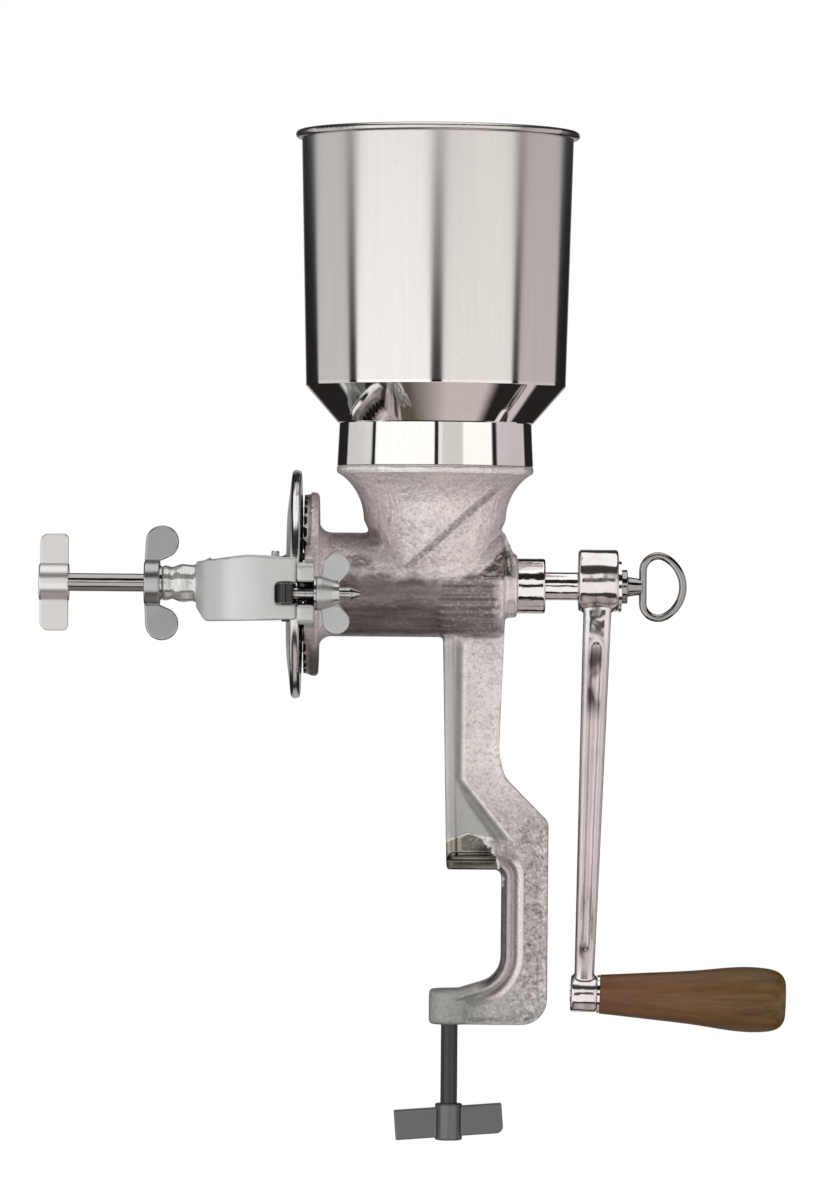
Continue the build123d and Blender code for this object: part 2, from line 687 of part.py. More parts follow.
# ---- yoke and its bolts ----
def yoke():
    """Bell-shaped bridge: drawn from above, trimmed to its front outline, then bored and slotted."""
    outer_y = BOLT_Y + YOKE_T / 2
    inner_y = BOLT_Y - YOKE_T / 2
    outside = rounded(
        [
            (YOKE_END_X, -outer_y, 0),
            (YOKE_OUT_X, -outer_y, YOKE_BEND_R),
            (YOKE_OUT_X, outer_y, YOKE_BEND_R),
            (YOKE_END_X, outer_y, 0),
        ]
    )
    inside = rounded(
        [
            (YOKE_END_X + 1, -inner_y, 0),
            (YOKE_OUT_X + YOKE_T, -inner_y, YOKE_BEND_R - YOKE_T),
            (YOKE_OUT_X + YOKE_T, inner_y, YOKE_BEND_R - YOKE_T),
            (YOKE_END_X + 1, inner_y, 0),
        ]
    )
    strap = extrude(Plane.XY.offset(BOLT_Z - YOKE_H) * (outside - inside), 2 * YOKE_H)
    middle_z = (SHAFT_Z + BOLT_Z) / 2
    front = rounded(
        [
            (YOKE_OUT_X - 1, SHAFT_Z - YOKE_NOSE_H / 2, 0),
            (YOKE_OUT_X + 5, middle_z - YOKE_H / 2, 3.5),
            (YOKE_END_X, middle_z - YOKE_H / 2 + 1.0, 1.5),
            (YOKE_END_X, middle_z + YOKE_H / 2 - 1.0, 1.5),
            (YOKE_OUT_X + 26, middle_z + YOKE_H / 2, 20.0),
            (YOKE_OUT_X - 1, SHAFT_Z + YOKE_NOSE_H / 2, 0),
        ]
    )
    strap = strap & front_plate(front, 4 * BOLT_Y)
    boss = turned_x(
        [
            (YOKE_NOSE_X, 0, 0),
            (YOKE_NOSE_X, YOKE_BOSS_R - 1.0, 0.8),
            (YOKE_NOSE_X + 3.0, YOKE_BOSS_R - 1.0, 1.0),
            (YOKE_NOSE_X + 5.0, YOKE_BOSS_R - 2.0, 2.0),
            (YOKE_NOSE_X + 9.5, YOKE_BOSS_R, 6.0),
            (YOKE_OUT_X - 2.5, YOKE_BOSS_R - 0.8, 4.0),
            (YOKE_OUT_X + 1.0, YOKE_BOSS_R + 0.7, 0),
            (YOKE_OUT_X + YOKE_T, YOKE_BOSS_R + 3.2, 0),
            (YOKE_OUT_X + YOKE_T + 3.0, YOKE_BOSS_R + 0.2, 1.0),
            (YOKE_OUT_X + YOKE_T + 3.0, 0, 0),
        ]
    )
    bore = x_rod(ADJUST_R + FIT, YOKE_NOSE_X - 1, YOKE_OUT_X + 4 * YOKE_T)
    half = YOKE_SLOT_H / 2
    slot_x = YOKE_END_X - YOKE_SLOT_L
    slot = block(slot_x, YOKE_END_X + 1, -2 * BOLT_Y, 2 * BOLT_Y, BOLT_Z - half, BOLT_Z + half)
    pins = z_rod(SWING_PIN_R + FIT, BOLT_Z - YOKE_H, BOLT_Z + YOKE_H, EYE_X, -BOLT_Y)
    return strap + boss - bore - slot - pins - mirrored(pins)


def swing_bolt():
    """Front eye bolt: eye in the yoke's fork, shank through the ear, tapered tip."""
    eye = z_rod(EYE_R, BOLT_Z - EYE_H / 2, BOLT_Z + EYE_H / 2, EYE_X, -BOLT_Y)
    tip_x = NUT_X + NUT_HUB_L + BOLT_PAST_NUT
    shank = x_rod(BOLT_R, EYE_X, tip_x - BOLT_TIP_L, -BOLT_Y, BOLT_Z)
    tip = Pos(tip_x - BOLT_TIP_L / 2, -BOLT_Y, BOLT_Z) * Rot(0, 90, 0) * Cone(BOLT_R, 1.2, BOLT_TIP_L)
    hole = z_rod(SWING_PIN_R + FIT, BOLT_Z - EYE_H, BOLT_Z + EYE_H, EYE_X, -BOLT_Y)
    return eye + shank + tip - hole


def swing_pin():
    pin = z_rod(SWING_PIN_R, BOLT_Z - SWING_PIN_L / 2, BOLT_Z + SWING_PIN_L / 2, EYE_X, -BOLT_Y)
    return chamfer(pin.edges().filter_by(GeomType.CIRCLE), 0.4)


def washer_x(radius, bore_r, x0, thickness, y=0.0, z=SHAFT_Z):
    return x_rod(radius, x0, x0 + thickness, y, z) - x_rod(bore_r + FIT, x0 - 1, x0 + thickness + 1, y, z)


def petals(root, root_l, petal_r, span, lean, thickness):
    """Two rounded wings in the X-Z plane about the X axis, leaning to +X from their roots."""
    foot = Line((-root_l / 2, root), (root_l / 2, root))
    lobe = Pos(lean, span / 2 - petal_r) * Circle(petal_r)
    wing = make_hull(lobe.edges() + foot.edges())
    wing = eased(front_plate(wing, thickness), thickness * 0.3)
    return wing + mirror(wing, Plane.XY)


def wing_nut():
    """Front wing nut of the yoke."""
    hub = turned_x(
        [
            (NUT_X, 0, 0),
            (NUT_X, NUT_HUB_R + 1.0, 0.8),
            (NUT_X + 2.5, NUT_HUB_R + 1.0, 0.8),
            (NUT_X + NUT_HUB_L, NUT_NOSE_R, 0.8),
            (NUT_X + NUT_HUB_L, 0, 0),
        ],
        z=0,
    )
    root_l = NUT_HUB_L - 2.0
    wings = petals(NUT_NOSE_R - 0.6, root_l, NUT_PETAL_R, NUT_SPAN, NUT_LEAN, NUT_WING_T)
    nut = hub + Pos(NUT_X + NUT_HUB_L / 2 + 0.5, 0, 0) * wings
    nut -= x_rod(BOLT_R + FIT, NUT_X - 1, NUT_X + 2 * NUT_HUB_L, 0, 0)
    return Pos(0, -BOLT_Y, BOLT_Z) * nut


def lock_wing_nut():
    hub_x = LOCK_HUB_X - LOCK_HUB_L
    hub = turned_x(
        [
            (hub_x, 0, 0),
            (hub_x, LOCK_HUB_R - 0.5, 1.0),
            (LOCK_HUB_X, LOCK_HUB_R, 1.0),
            (LOCK_HUB_X, 0, 0),
        ],
        z=0,
    )
    root_l = LOCK_HUB_L - 0.4
    wings = petals(LOCK_HUB_R - 0.6, root_l, LOCK_PETAL_R, LOCK_SPAN, LOCK_LEAN, LOCK_WING_T)
    nut = hub + Pos(hub_x + LOCK_HUB_L / 2, 0, 0) * wings
    nut -= x_rod(ADJUST_R + FIT, hub_x - 1, LOCK_HUB_X + 1, 0, 0)
    return Pos(0, 0, SHAFT_Z) * nut


def thrust_ball():
    return Pos(BALL_X, 0, SHAFT_Z) * Sphere(BALL_R)


def adjusting_screw():
    outer_x = ADJUST_HEAD_X - ADJUST_HEAD_L + ADJUST_END_CAP
    rod = x_rod(ADJUST_R, outer_x, ADJUST_TIP_X)
    return chamfer(rod.edges().filter_by(GeomType.CIRCLE), 0.8)


def adjusting_handle():
    """Winged head: a hub with a flat square-shouldered wing above and below."""
    outer_x = ADJUST_HEAD_X - ADJUST_HEAD_L
    hub = turned_x(
        [
            (outer_x, 0, 0),
            (outer_x, ADJUST_HEAD_R, 1.2),
            (ADJUST_HEAD_X, ADJUST_HEAD_R, 0.8),
            (ADJUST_HEAD_X, 0, 0),
        ],
        z=0,
    )
    half = ADJUST_WING_SPAN / 2
    wing = rounded(
        [
            (outer_x + 0.4, -half, ADJUST_WING_CORNER),
            (ADJUST_HEAD_X - 0.4, -half, ADJUST_WING_CORNER * 0.6),
            (ADJUST_HEAD_X - 0.4, half, ADJUST_WING_CORNER * 0.6),
            (outer_x + 0.4, half, ADJUST_WING_CORNER),
        ]
    )
    wing = eased(front_plate(wing, ADJUST_WING_T), 0.7)
    head = hub + wing
    head -= x_rod(ADJUST_R + FIT, outer_x + ADJUST_END_CAP, ADJUST_HEAD_X + 1, 0, 0)
    return Pos(0, 0, SHAFT_Z) * head


# ---- crank ----
def arm_section(z, share):
    """A level section of the arm, share 0 at the head and 1 at the foot."""
    width = ARM_TOP_W + (ARM_FOOT_W - ARM_TOP_W) * share
    depth = ARM_TOP_D + (ARM_FOOT_D - ARM_TOP_D) * share
    x = HEAD_X + CRANK_HEAD_L / 2 - CRANK_LEAN * (SHAFT_Z - z) / CRANK_THROW
    return Plane.XY.offset(z) * Pos(x, 0) * RectangleRounded(width, depth, ARM_CORNER)


def arm_groove():
    """The shallow channel down the arm's front face."""
    top_z = SHAFT_Z - 28.0
    foot_z = FOOT_Z + 22.0

    def middle(z):
        return HEAD_X + CRANK_HEAD_L / 2 - CRANK_LEAN * (SHAFT_Z - z) / CRANK_THROW

    half = ARM_GROOVE_W / 2
    channel = rounded(
        [
            (middle(top_z) - half, top_z, ARM_GROOVE_ROUND),
            (middle(top_z) + half, top_z, ARM_GROOVE_ROUND),
            (middle(foot_z) + half * 0.7, foot_z, 0.6 * ARM_GROOVE_ROUND),
            (middle(foot_z) - half * 0.7, foot_z, 0.6 * ARM_GROOVE_ROUND),
        ]
    )
    share = (SHAFT_Z - foot_z) / CRANK_THROW
    depth_there = ARM_TOP_D + (ARM_FOOT_D - ARM_TOP_D) * share
    tilt = degrees(asin((ARM_TOP_D - depth_there) / 2 / (top_z - foot_z)))
    plane = Plane(origin=(0, -ARM_TOP_D / 2 + ARM_GROOVE_DEEP, top_z), x_dir=(1, 0, 0), z_dir=(0, -1, 0))
    plane = plane.rotated((tilt, 0, 0))
    return extrude(plane * Pos(0, -top_z) * channel, 20.0)


def grip_frame():
    """The grip's own frame: its origin in the foot boss, X along the axle."""
    return Location((FOOT_X, 0, FOOT_Z), (0, GRIP_DROOP, 0))


def own_rod(radius, x0, x1):
    return x_rod(radius, x0, x1, 0, 0)


def crank_arm():
    head = x_rod(CRANK_HEAD_R, HEAD_X, HEAD_END_X, 0, SHAFT_Z + CRANK_HEAD_UP)
    head = fillet(head.edges().filter_by(GeomType.CIRCLE), 1.2)
    arm = loft([arm_section(SHAFT_Z - 6.0, 0.0), arm_section(FOOT_Z, 1.0)], ruled=True)
    groove = arm_groove()
    foot = own_rod(FOOT_BOSS_R, -FOOT_BOSS_L / 2, FOOT_BOSS_L / 2)
    foot = fillet(foot.edges().filter_by(GeomType.CIRCLE), 1.0)
    crank = head + (arm - groove - mirrored(groove)) + grip_frame() * foot
    crank -= grip_frame() * own_rod(AXLE_R + FIT, -2 * FOOT_BOSS_L, 2 * FOOT_BOSS_L)
    side = CRANK_SQUARE + 2 * FIT
    hole = block(HEAD_X - 1, HEAD_END_X + 1, -side / 2, side / 2, SHAFT_Z - side / 2, SHAFT_Z + side / 2)
    return crank - hole


def ring():
    """The loop head: straight near the shank, a wide bow outside, arcs tangent throughout."""
    width = RING_W - 2 * RING_STOCK_R
    flat = RING_FLAT / 2
    corner = RING_H / 2 - RING_STOCK_R - flat
    bow = (flat**2 + width**2 - 2 * corner * width) / (2 * width - 4 * corner)
    bow_half = degrees(asin(flat / (bow - corner)))
    side = Line((0, -flat), (0, flat))
    over = JernArc((0, flat), (0, 1), corner, -(180 - bow_half))
    outer = JernArc(over @ 1, over % 1, bow, -2 * bow_half)
    under = JernArc(outer @ 1, outer % 1, corner, -(180 - bow_half))
    path = Plane.XZ * Wire([side, over, outer, under])
    start = Plane(origin=path @ 0, z_dir=path % 0)
    return sweep(start * Circle(RING_STOCK_R), path=path)


def crank_ring_screw():
    shoulder_x = HEAD_END_X + CRANK_WASHER_T
    shank_x = shoulder_x + RING_SHOULDER_L
    ring_x = shank_x + RING_SHANK_L
    stem = turned_x(
        [
            (HEAD_END_X - RING_STEM_L, 0, 0),
            (HEAD_END_X - RING_STEM_L, RING_STEM_R, 0.6),
            (shoulder_x, RING_STEM_R, 0),
            (shoulder_x, RING_SHOULDER_R, 0.6),
            (shank_x, RING_SHOULDER_R, 0.6),
            (shank_x, RING_SHANK_R, 0.8),
            (ring_x, RING_SHANK_R * 0.8, 0),
            (ring_x, 0, 0),
        ]
    )
    return stem + Pos(ring_x + RING_STOCK_R * 0.4, 0, SHAFT_Z) * ring()


def handle_axle():
    head_x = FOOT_BOSS_L / 2 + HANDLE_WASHER_T + GRIP_L - GRIP_SINK_L + 2 * GRIP_PLAY
    axle = own_rod(AXLE_R, -FOOT_BOSS_L / 2 - 0.3, head_x)
    head = own_rod(AXLE_HEAD_R, head_x, head_x + AXLE_HEAD_L)
    head = fillet(head.edges().filter_by(GeomType.CIRCLE).sort_by(Axis.X)[-1], 1.2)
    return grip_frame() * (axle + head)


def handle_washer():
    washer = own_rod(HANDLE_WASHER_R, 0, HANDLE_WASHER_T) - own_rod(AXLE_R + FIT, -1, 3)
    return grip_frame() * Pos(FOOT_BOSS_L / 2, 0, 0) * washer


def handle_grip():
    """Turned wooden grip: slim at the boss, swelling to a full rounded end."""
    start = FOOT_BOSS_L / 2 + HANDLE_WASHER_T + GRIP_PLAY
    end = start + GRIP_L
    belly = start + GRIP_BELLY_AT
    side = Spline(
        (start, GRIP_NECK_R - 0.4),
        (start + GRIP_L * 0.25, GRIP_NECK_R + (GRIP_BELLY_R - GRIP_NECK_R) * 0.24),
        (start + GRIP_L * 0.55, GRIP_NECK_R + (GRIP_BELLY_R - GRIP_NECK_R) * 0.66),
        (belly, GRIP_BELLY_R),
        (end - 2.0, GRIP_BELLY_R - 3.0),
        (end, GRIP_END_R),
    )
    base = Polyline((end, GRIP_END_R), (end, 0), (start, 0), (start, GRIP_NECK_R - 0.4))
    grip = revolve(Plane.XZ * make_face(side + base), Axis.X)
    grip -= own_rod(AXLE_R + 2 * FIT, start - 1, end + 1)
    grip -= own_rod(GRIP_SINK_R, end - GRIP_SINK_L, end + 1)
    return grip_frame() * grip


# ---- hopper ----
def hopper_collar():
    """Band that stands on the throat's rim, turned in at the foot, with a spigot into the mouth."""
    return turned_z(
        [
            (COLLAR_TOP_R - SHEET_T, COLLAR_TOP_Z, 0),
            (COLLAR_TOP_R, COLLAR_TOP_Z, 0),
            (COLLAR_FOOT_R, THROAT_RIM_Z, 0),
            (SPIGOT_R, THROAT_RIM_Z, 0),
            (SPIGOT_R, THROAT_RIM_Z - SPIGOT_L, 0),
            (SPIGOT_R - SHEET_T, THROAT_RIM_Z - SPIGOT_L, 0),
            (SPIGOT_R - SHEET_T, THROAT_RIM_Z + SHEET_T, 0),
            (COLLAR_FOOT_R - SHEET_T, THROAT_RIM_Z + SHEET_T, 0),
        ]
    )


def hopper_cone():
    return turned_z(
        [
            (COLLAR_TOP_R - SHEET_T, COLLAR_TOP_Z, 0),
            (COLLAR_TOP_R, COLLAR_TOP_Z, 0),
            (COLLAR_TOP_R + SHEET_T, COLLAR_TOP_Z + 0.6, 0),
            (HOPPER_FOOT_R, CONE_TOP_Z - 1.4, 0.5),
            (HOPPER_FOOT_R, CONE_TOP_Z, 0),
            (HOPPER_FOOT_R - SHEET_T, CONE_TOP_Z, 0),
        ]
    )


def hopper_wall():
    """Slightly tapered wall whose top edge is rolled outwards round a wire."""
    wall = turned_z(
        [
            (HOPPER_FOOT_R - SHEET_T, CONE_TOP_Z, 0),
            (HOPPER_FOOT_R, CONE_TOP_Z, 0),
            (HOPPER_RIM_R, HOPPER_TOP_Z, 0),
            (HOPPER_RIM_R - SHEET_T, HOPPER_TOP_Z, 0),
        ]
    )
    bead_x = HOPPER_RIM_R - SHEET_T + RIM_BEAD_R
    place = Pos(HOPPER_X, 0, HOPPER_TOP_Z)
    bead = place * Torus(bead_x, RIM_BEAD_R)
    return wall + bead - place * Torus(bead_x, RIM_WIRE_R + FIT)


def hopper_rim_wire():
    return Pos(HOPPER_X, 0, HOPPER_TOP_Z) * Torus(HOPPER_RIM_R - SHEET_T + RIM_BEAD_R, RIM_WIRE_R)


# ---- clamp screw ----
def clamp_tip():
    """Small swivel button riveted into the clamp screw's end."""
    button = z_rod(CLAMP_TIP_R, CLAMP_TIP_Z - CLAMP_TIP_T, CLAMP_TIP_Z, CLAMP_X)
    return fillet(button.edges().filter_by(GeomType.CIRCLE).sort_by(Axis.Z)[-1], 0.5)


def clamp_screw():
    rod = z_rod(CLAMP_SCREW_R, T_HUB_Z - T_HUB_H + 2.0, CLAMP_TIP_Z - CLAMP_TIP_T - SEAT, CLAMP_X)
    return chamfer(rod.edges().filter_by(GeomType.CIRCLE), 0.6)


def clamp_handle():
    """Flat T-bar on a round hub, leaning a little as it was last turned."""
    middle_z = T_HUB_Z - T_HUB_H / 2
    bar = rounded(
        [
            (-T_BAR_L / 2, -T_BAR_H / 2, 0.8),
            (T_BAR_L / 2, -T_BAR_H / 2, T_BAR_CORNER),
            (T_BAR_L / 2, T_BAR_H / 2, 0.8),
            (-T_BAR_L / 2, T_BAR_H / 2, 0.8),
        ]
    )
    bar = Rot(0, -T_BAR_LEAN, 0) * eased(front_plate(bar, T_BAR_T), 0.8)
    hub = z_rod(T_HUB_R, -T_HUB_H / 2, T_HUB_H / 2)
    hub = fillet(hub.edges().filter_by(GeomType.CIRCLE), 1.0)
    handle = Pos(CLAMP_X, 0, middle_z) * (bar + hub)
    return handle - z_rod(CLAMP_SCREW_R + FIT, T_HUB_Z - T_HUB_H + 2.0, T_HUB_Z + 1, CLAMP_X)


def parts():
    """Every piece of the mill by name."""
    washer_place = dict(x0=EAR_BACK_X, thickness=WASHER_T, y=-BOLT_Y, z=BOLT_Z)
    yoke_washer = washer_x(YOKE_WASHER_R, BOLT_R, **washer_place)
    return {
        "mill_body": mill_body(),
        "rear_bearing_bush": rear_bearing_bush(),
        "fixed_plate": facing_left(grinding_plate(PLATE_EYE_R)),
        "fixed_plate_screws": [facing_left(screw) for screw in plate_screws()],
        "yoke": yoke(),
        "swing_bolt_front": swing_bolt(),
        "swing_bolt_back": mirrored(swing_bolt()),
        "swing_pin_front": swing_pin(),
        "swing_pin_back": mirrored(swing_pin()),
        "yoke_washer_front": yoke_washer,
        "yoke_washer_back": mirrored(yoke_washer),
        "wing_nut_front": wing_nut(),
        "wing_nut_back": mirrored(wing_nut()),
        "hopper_wall": hopper_wall(),
        "hopper_rim_wire": hopper_rim_wire(),
        "hopper_cone": hopper_cone(),
        "hopper_collar": hopper_collar(),
        "feed_screw": feed_screw(),
        "plate_carrier": plate_carrier(),
        "carrier_pin": carrier_pin(),
        "rotating_plate": facing_right(grinding_plate(CARRIER_PLATE_EYE_R)),
        "rotating_plate_screws": [facing_right(screw) for screw in plate_screws()],
        "thrust_ball": thrust_ball(),
        "adjusting_screw": adjusting_screw(),
        "adjusting_handle": adjusting_handle(),
        "lock_washer": washer_x(LOCK_WASHER_R, ADJUST_R, LOCK_HUB_X, WASHER_T),
        "lock_wing_nut": lock_wing_nut(),
        "crank_arm": crank_arm(),
        "crank_washer": washer_x(CRANK_WASHER_R, RING_STEM_R, HEAD_END_X, CRANK_WASHER_T),
        "crank_ring_screw": crank_ring_screw(),
        "handle_axle": handle_axle(),
        "handle_washer": handle_washer(),
        "handle_grip": handle_grip(),
        "clamp_tip": clamp_tip(),
        "clamp_screw": clamp_screw(),
        "clamp_handle": clamp_handle(),
    }


os.makedirs("parts", exist_ok=True)
for node, shape in parts().items():
    solids = shape if isinstance(shape, list) else shape.solids()
    whole = solids[0] if len(solids) == 1 else Compound(children=[Compound(s.wrapped) for s in solids])
    export_step(whole, f"parts/{node}.step")
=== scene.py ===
"""Looks of a hand crank grain mill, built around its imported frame."""

import json
from math import pi, radians

import bpy
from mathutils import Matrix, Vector

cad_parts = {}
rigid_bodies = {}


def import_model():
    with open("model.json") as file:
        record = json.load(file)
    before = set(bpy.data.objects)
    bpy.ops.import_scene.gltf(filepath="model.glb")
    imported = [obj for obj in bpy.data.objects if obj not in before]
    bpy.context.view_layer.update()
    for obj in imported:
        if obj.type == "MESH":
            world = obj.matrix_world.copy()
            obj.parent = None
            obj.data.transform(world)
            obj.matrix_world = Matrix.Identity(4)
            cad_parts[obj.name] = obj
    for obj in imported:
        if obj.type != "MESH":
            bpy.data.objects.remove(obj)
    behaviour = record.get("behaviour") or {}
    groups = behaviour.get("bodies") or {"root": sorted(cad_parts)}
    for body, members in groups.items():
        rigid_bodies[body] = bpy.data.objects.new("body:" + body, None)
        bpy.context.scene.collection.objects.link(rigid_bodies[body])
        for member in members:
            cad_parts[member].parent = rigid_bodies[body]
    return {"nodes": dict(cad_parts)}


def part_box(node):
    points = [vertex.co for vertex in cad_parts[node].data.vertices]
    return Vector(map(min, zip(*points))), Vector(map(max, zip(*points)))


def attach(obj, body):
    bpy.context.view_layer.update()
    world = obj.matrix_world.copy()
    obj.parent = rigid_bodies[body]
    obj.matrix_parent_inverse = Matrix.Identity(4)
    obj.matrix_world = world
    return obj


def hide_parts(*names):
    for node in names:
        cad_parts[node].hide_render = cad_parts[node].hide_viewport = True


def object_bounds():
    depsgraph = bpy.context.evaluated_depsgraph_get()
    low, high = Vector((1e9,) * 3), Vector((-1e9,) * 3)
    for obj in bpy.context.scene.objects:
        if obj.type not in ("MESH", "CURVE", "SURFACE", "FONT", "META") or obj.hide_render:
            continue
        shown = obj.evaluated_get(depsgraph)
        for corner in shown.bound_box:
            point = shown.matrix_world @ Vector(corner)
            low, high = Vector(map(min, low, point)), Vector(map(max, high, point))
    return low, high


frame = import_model()
CAD_BOX = [list(corner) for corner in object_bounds()]
NODES = frame["nodes"]

bl_info = {
    "name": "Grain mill",
    "version": (1, 0, 0),
    "blender": (4, 5, 0),
    "location": "View3D > Sidebar > Mill",
    "description": "Castings, sheet hopper, plated steel and turned grip of a table-clamp grain mill",
    "category": "Object",
}

MM = 0.001

# places read from the frame, in metres
HOPPER_LOW, HOPPER_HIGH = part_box("hopper_wall")
BALL_LOW, BALL_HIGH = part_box("thrust_ball")
SHAFT_Z = (BALL_LOW.z + BALL_HIGH.z) / 2
BOLT_LOW, BOLT_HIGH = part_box("swing_bolt_front")
BOLT_Z = (BOLT_LOW.z + BOLT_HIGH.z) / 2
YOKE_SIDE, EAR_SIDE = -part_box("yoke")[0].y, -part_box("mill_body")[0].y

# places on the body, as spans in metres
BARREL_SHADE_X, BARREL_SHADE_Z = (-0.071, 0.0105), (0.1145, 0.1462)  # the barrel, where a dark reflection is painted
# painted shade: the barrel grows darker towards its underside between these heights
BARREL_UNDERSIDE_Z = (0.132, 0.118)
RIBS_X = (-0.016, 0.03)
COARSE_X, COARSE_Z = (0.012, 0.03), (0.03, 0.01)  # where the clamp frame's coarse grain sets in
LEG_Z = (0.013, 0.1125)  # the leg's flat side
LEG_EDGE_X = -0.0068  # its edge, which runs out along the fan further down
FAN_SLOPE, FAN_X = -0.8, 0.029
LOWER_ARM_X, LOWER_ARM_Z = (-0.03, 0.004), (-0.09, -0.056)
RIM_Z = (0.1972, 0.203)
BOSS_X, BOSS_Z = (0.0135, 0.03), (0.12, 0.17)
PADS_Y = -0.0565  # the ears' faces lie in front of this
EAR_SLOT_X, EAR_SLOT_HALF = (-0.12, -0.0765), 0.0062
# the lower flange, darkened with painted shade
LOW_FLANGE_X, LOW_FLANGE_Z = (-0.12, -0.0665), (0.0, 0.112)
THROAT_Z = (0.152, 0.198)
SEAM_Z = (0.153, 0.190)
# the mould's seam across the throat's front, as a line in X and Z: unit normal and offset
SEAM = (-0.665, 0.746, -0.1356)
# the rounds of the clamp's mouth: centre X and Z, radius, and the side that the round closes
MOUTH_ROUNDS = ((0.0100, -0.004, 0.004, 1.0), (-0.0020, -0.0425, 0.016, -1.0))
HEM_X, HEM_Z = (0.004, 0.05), (-0.0635, 0.004)
HEM_REACH = (-0.003, 0.0108)  # from the mouth's edge
# shiny places with painted dark reflections: the jaw, the neck and the rear boss's corner
JAW_X, JAW_Z = (-0.03, 0.0125), (-0.003, 0.0165)
NECK_X, NECK_Z = (-0.074, -0.05), (0.148, 0.172)
BOSS_CORNER_X, BOSS_CORNER_Z = (0.0, 0.0165), (0.1455, 0.172)

# places on other pieces
YOKE_SLOT_HALF = 0.0075
NOSE_X = (-0.17, -0.1405)  # the yoke's polished nose, up to its bell
ARM_Z = (-0.052, 0.112)  # the crank's matt arm, between head and foot
GROOVE_SLOPE, GROOVE_X, GROOVE_HALF = 0.0227, 0.0567, 0.0034
HEAD_FOOT_Z = 0.118  # above this the crank's blotches are on its head
# heights of the crank's painted dark blotches and how dense each lot is
CRANK_DARK_PATCHES = (
    (0.1445, 0.1495, 0.12), (0.124, 0.136, 0.05), (0.080, 0.112, 0.19), (-0.045, -0.012, 0.10),
)


# ---- small helpers ----
def only(piece):
    """Selects one object and makes it active, with everything else deselected."""
    bpy.ops.object.select_all(action="DESELECT")
    piece.select_set(True)
    bpy.context.view_layer.objects.active = piece


def finish_modifier(piece, kind, **settings):
    """Adds a modifier with these settings and applies it."""
    only(piece)
    modifier = piece.modifiers.new(kind.title(), kind)
    for name, value in settings.items():
        setattr(modifier, name, value)
    bpy.ops.object.modifier_apply(modifier=modifier.name)


def copy_of(node, name):
    """A free copy of a CAD node's mesh, its loose triangles merged."""
    only(NODES[node])
    bpy.ops.object.duplicate()
    piece = bpy.context.active_object
    bpy.ops.object.parent_clear(type="CLEAR_KEEP_TRANSFORM")
    for key in list(piece.keys()):
        del piece[key]
    piece.name = name
    bpy.ops.mesh.customdata_custom_splitnormals_clear()
    bpy.ops.object.mode_set(mode="EDIT")
    bpy.ops.mesh.select_all(action="SELECT")
    bpy.ops.mesh.remove_doubles(threshold=1e-6)
    bpy.ops.mesh.mark_sharp(clear=True)
    bpy.ops.object.mode_set(mode="OBJECT")
    return piece


def cast_copy(node, name, voxel, rounds, most_faces):
    """The CAD node as it comes out of a sand mould: corners run together, edges soft."""
    piece = copy_of(node, name)
    finish_modifier(piece, "REMESH", mode="VOXEL", voxel_size=voxel)
    finish_modifier(piece, "SMOOTH", factor=0.5, iterations=rounds)
    faces = len(piece.data.polygons) * 2
    if faces > most_faces:
        finish_modifier(piece, "DECIMATE", ratio=most_faces / faces)
    only(piece)
    bpy.ops.object.shade_smooth()
    return piece


def dress(piece, material):
    """Gives the whole piece one material."""
    piece.data.materials.clear()
    piece.data.materials.append(material)


def dress_node(name, material):
    """Gives a CAD node a material through its object's slots."""
    for slot in NODES[name].material_slots:
        slot.link = "OBJECT"
        slot.material = material


def stand_in(piece, node, body):
    """The piece stands for a CAD node, which it hides, and rides on its body."""
    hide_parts(node)
    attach(piece, body)


# ---- shader building ----
def add(tree, kind, values=None, **settings):
    """A new node with its settings, and its input sockets' values by name or number."""
    node = tree.nodes.new(kind)
    for name, value in settings.items():
        setattr(node, name, value)
    for socket, value in (values or {}).items():
        node.inputs[socket].default_value = value
    return node


def join(tree, source, target):
    tree.links.new(source, target)


def calc(tree, operation, a, b=None, clamp=False):
    """A Math node's result; a and b are sockets or numbers."""
    node = add(tree, "ShaderNodeMath", operation=operation, use_clamp=clamp)
    for number, value in enumerate((a, b)):
        if value is None:
            continue
        if hasattr(value, "is_output"):
            join(tree, value, node.inputs[number])
        else:
            node.inputs[number].default_value = value
    return node.outputs[0]


def product(tree, first, *others):
    """Several values multiplied."""
    for other in others:
        first = calc(tree, "MULTIPLY", first, other)
    return first


def highest(tree, first, *others):
    """The largest of several values."""
    for other in others:
        first = calc(tree, "MAXIMUM", first, other)
    return first


def rest_of(tree, share):
    """What a share leaves of 1."""
    return calc(tree, "SUBTRACT", 1.0, share, clamp=True)


def slope(tree, value, low, high, most=1.0, soft=False):
    """Goes from 0 where value is low to most where it is high, straight or softly."""
    node = add(tree, "ShaderNodeMapRange", {1: low, 2: high, 4: most})
    if soft:
        node.interpolation_type = "SMOOTHSTEP"
    join(tree, value, node.inputs[0])
    return node.outputs[0]


def band(tree, value, low, high, soft):
    """1 where value lies between low and high, with edges this soft."""
    rise = add(tree, "ShaderNodeMapRange", {1: low - soft, 2: low + soft}, interpolation_type="SMOOTHSTEP")
    fall = add(tree, "ShaderNodeMapRange", {1: high - soft, 2: high + soft, 3: 1, 4: 0})
    fall.interpolation_type = "SMOOTHSTEP"
    join(tree, value, rise.inputs[0])
    join(tree, value, fall.inputs[0])
    return calc(tree, "MULTIPLY", rise.outputs[0], fall.outputs[0])


def object_axes(tree):
    """X, Y and Z of the Object coordinates."""
    node = add(tree, "ShaderNodeSeparateXYZ")
    join(tree, place(tree), node.inputs[0])
    return node.outputs


def distance_from(tree, y, z):
    """Distance from an axis along X through this Y and Z."""
    spread = place(tree, scale=(0, 1, 1), location=(0, -y, -z))
    length = add(tree, "ShaderNodeVectorMath", operation="LENGTH")
    join(tree, spread, length.inputs[0])
    return length.outputs["Value"]


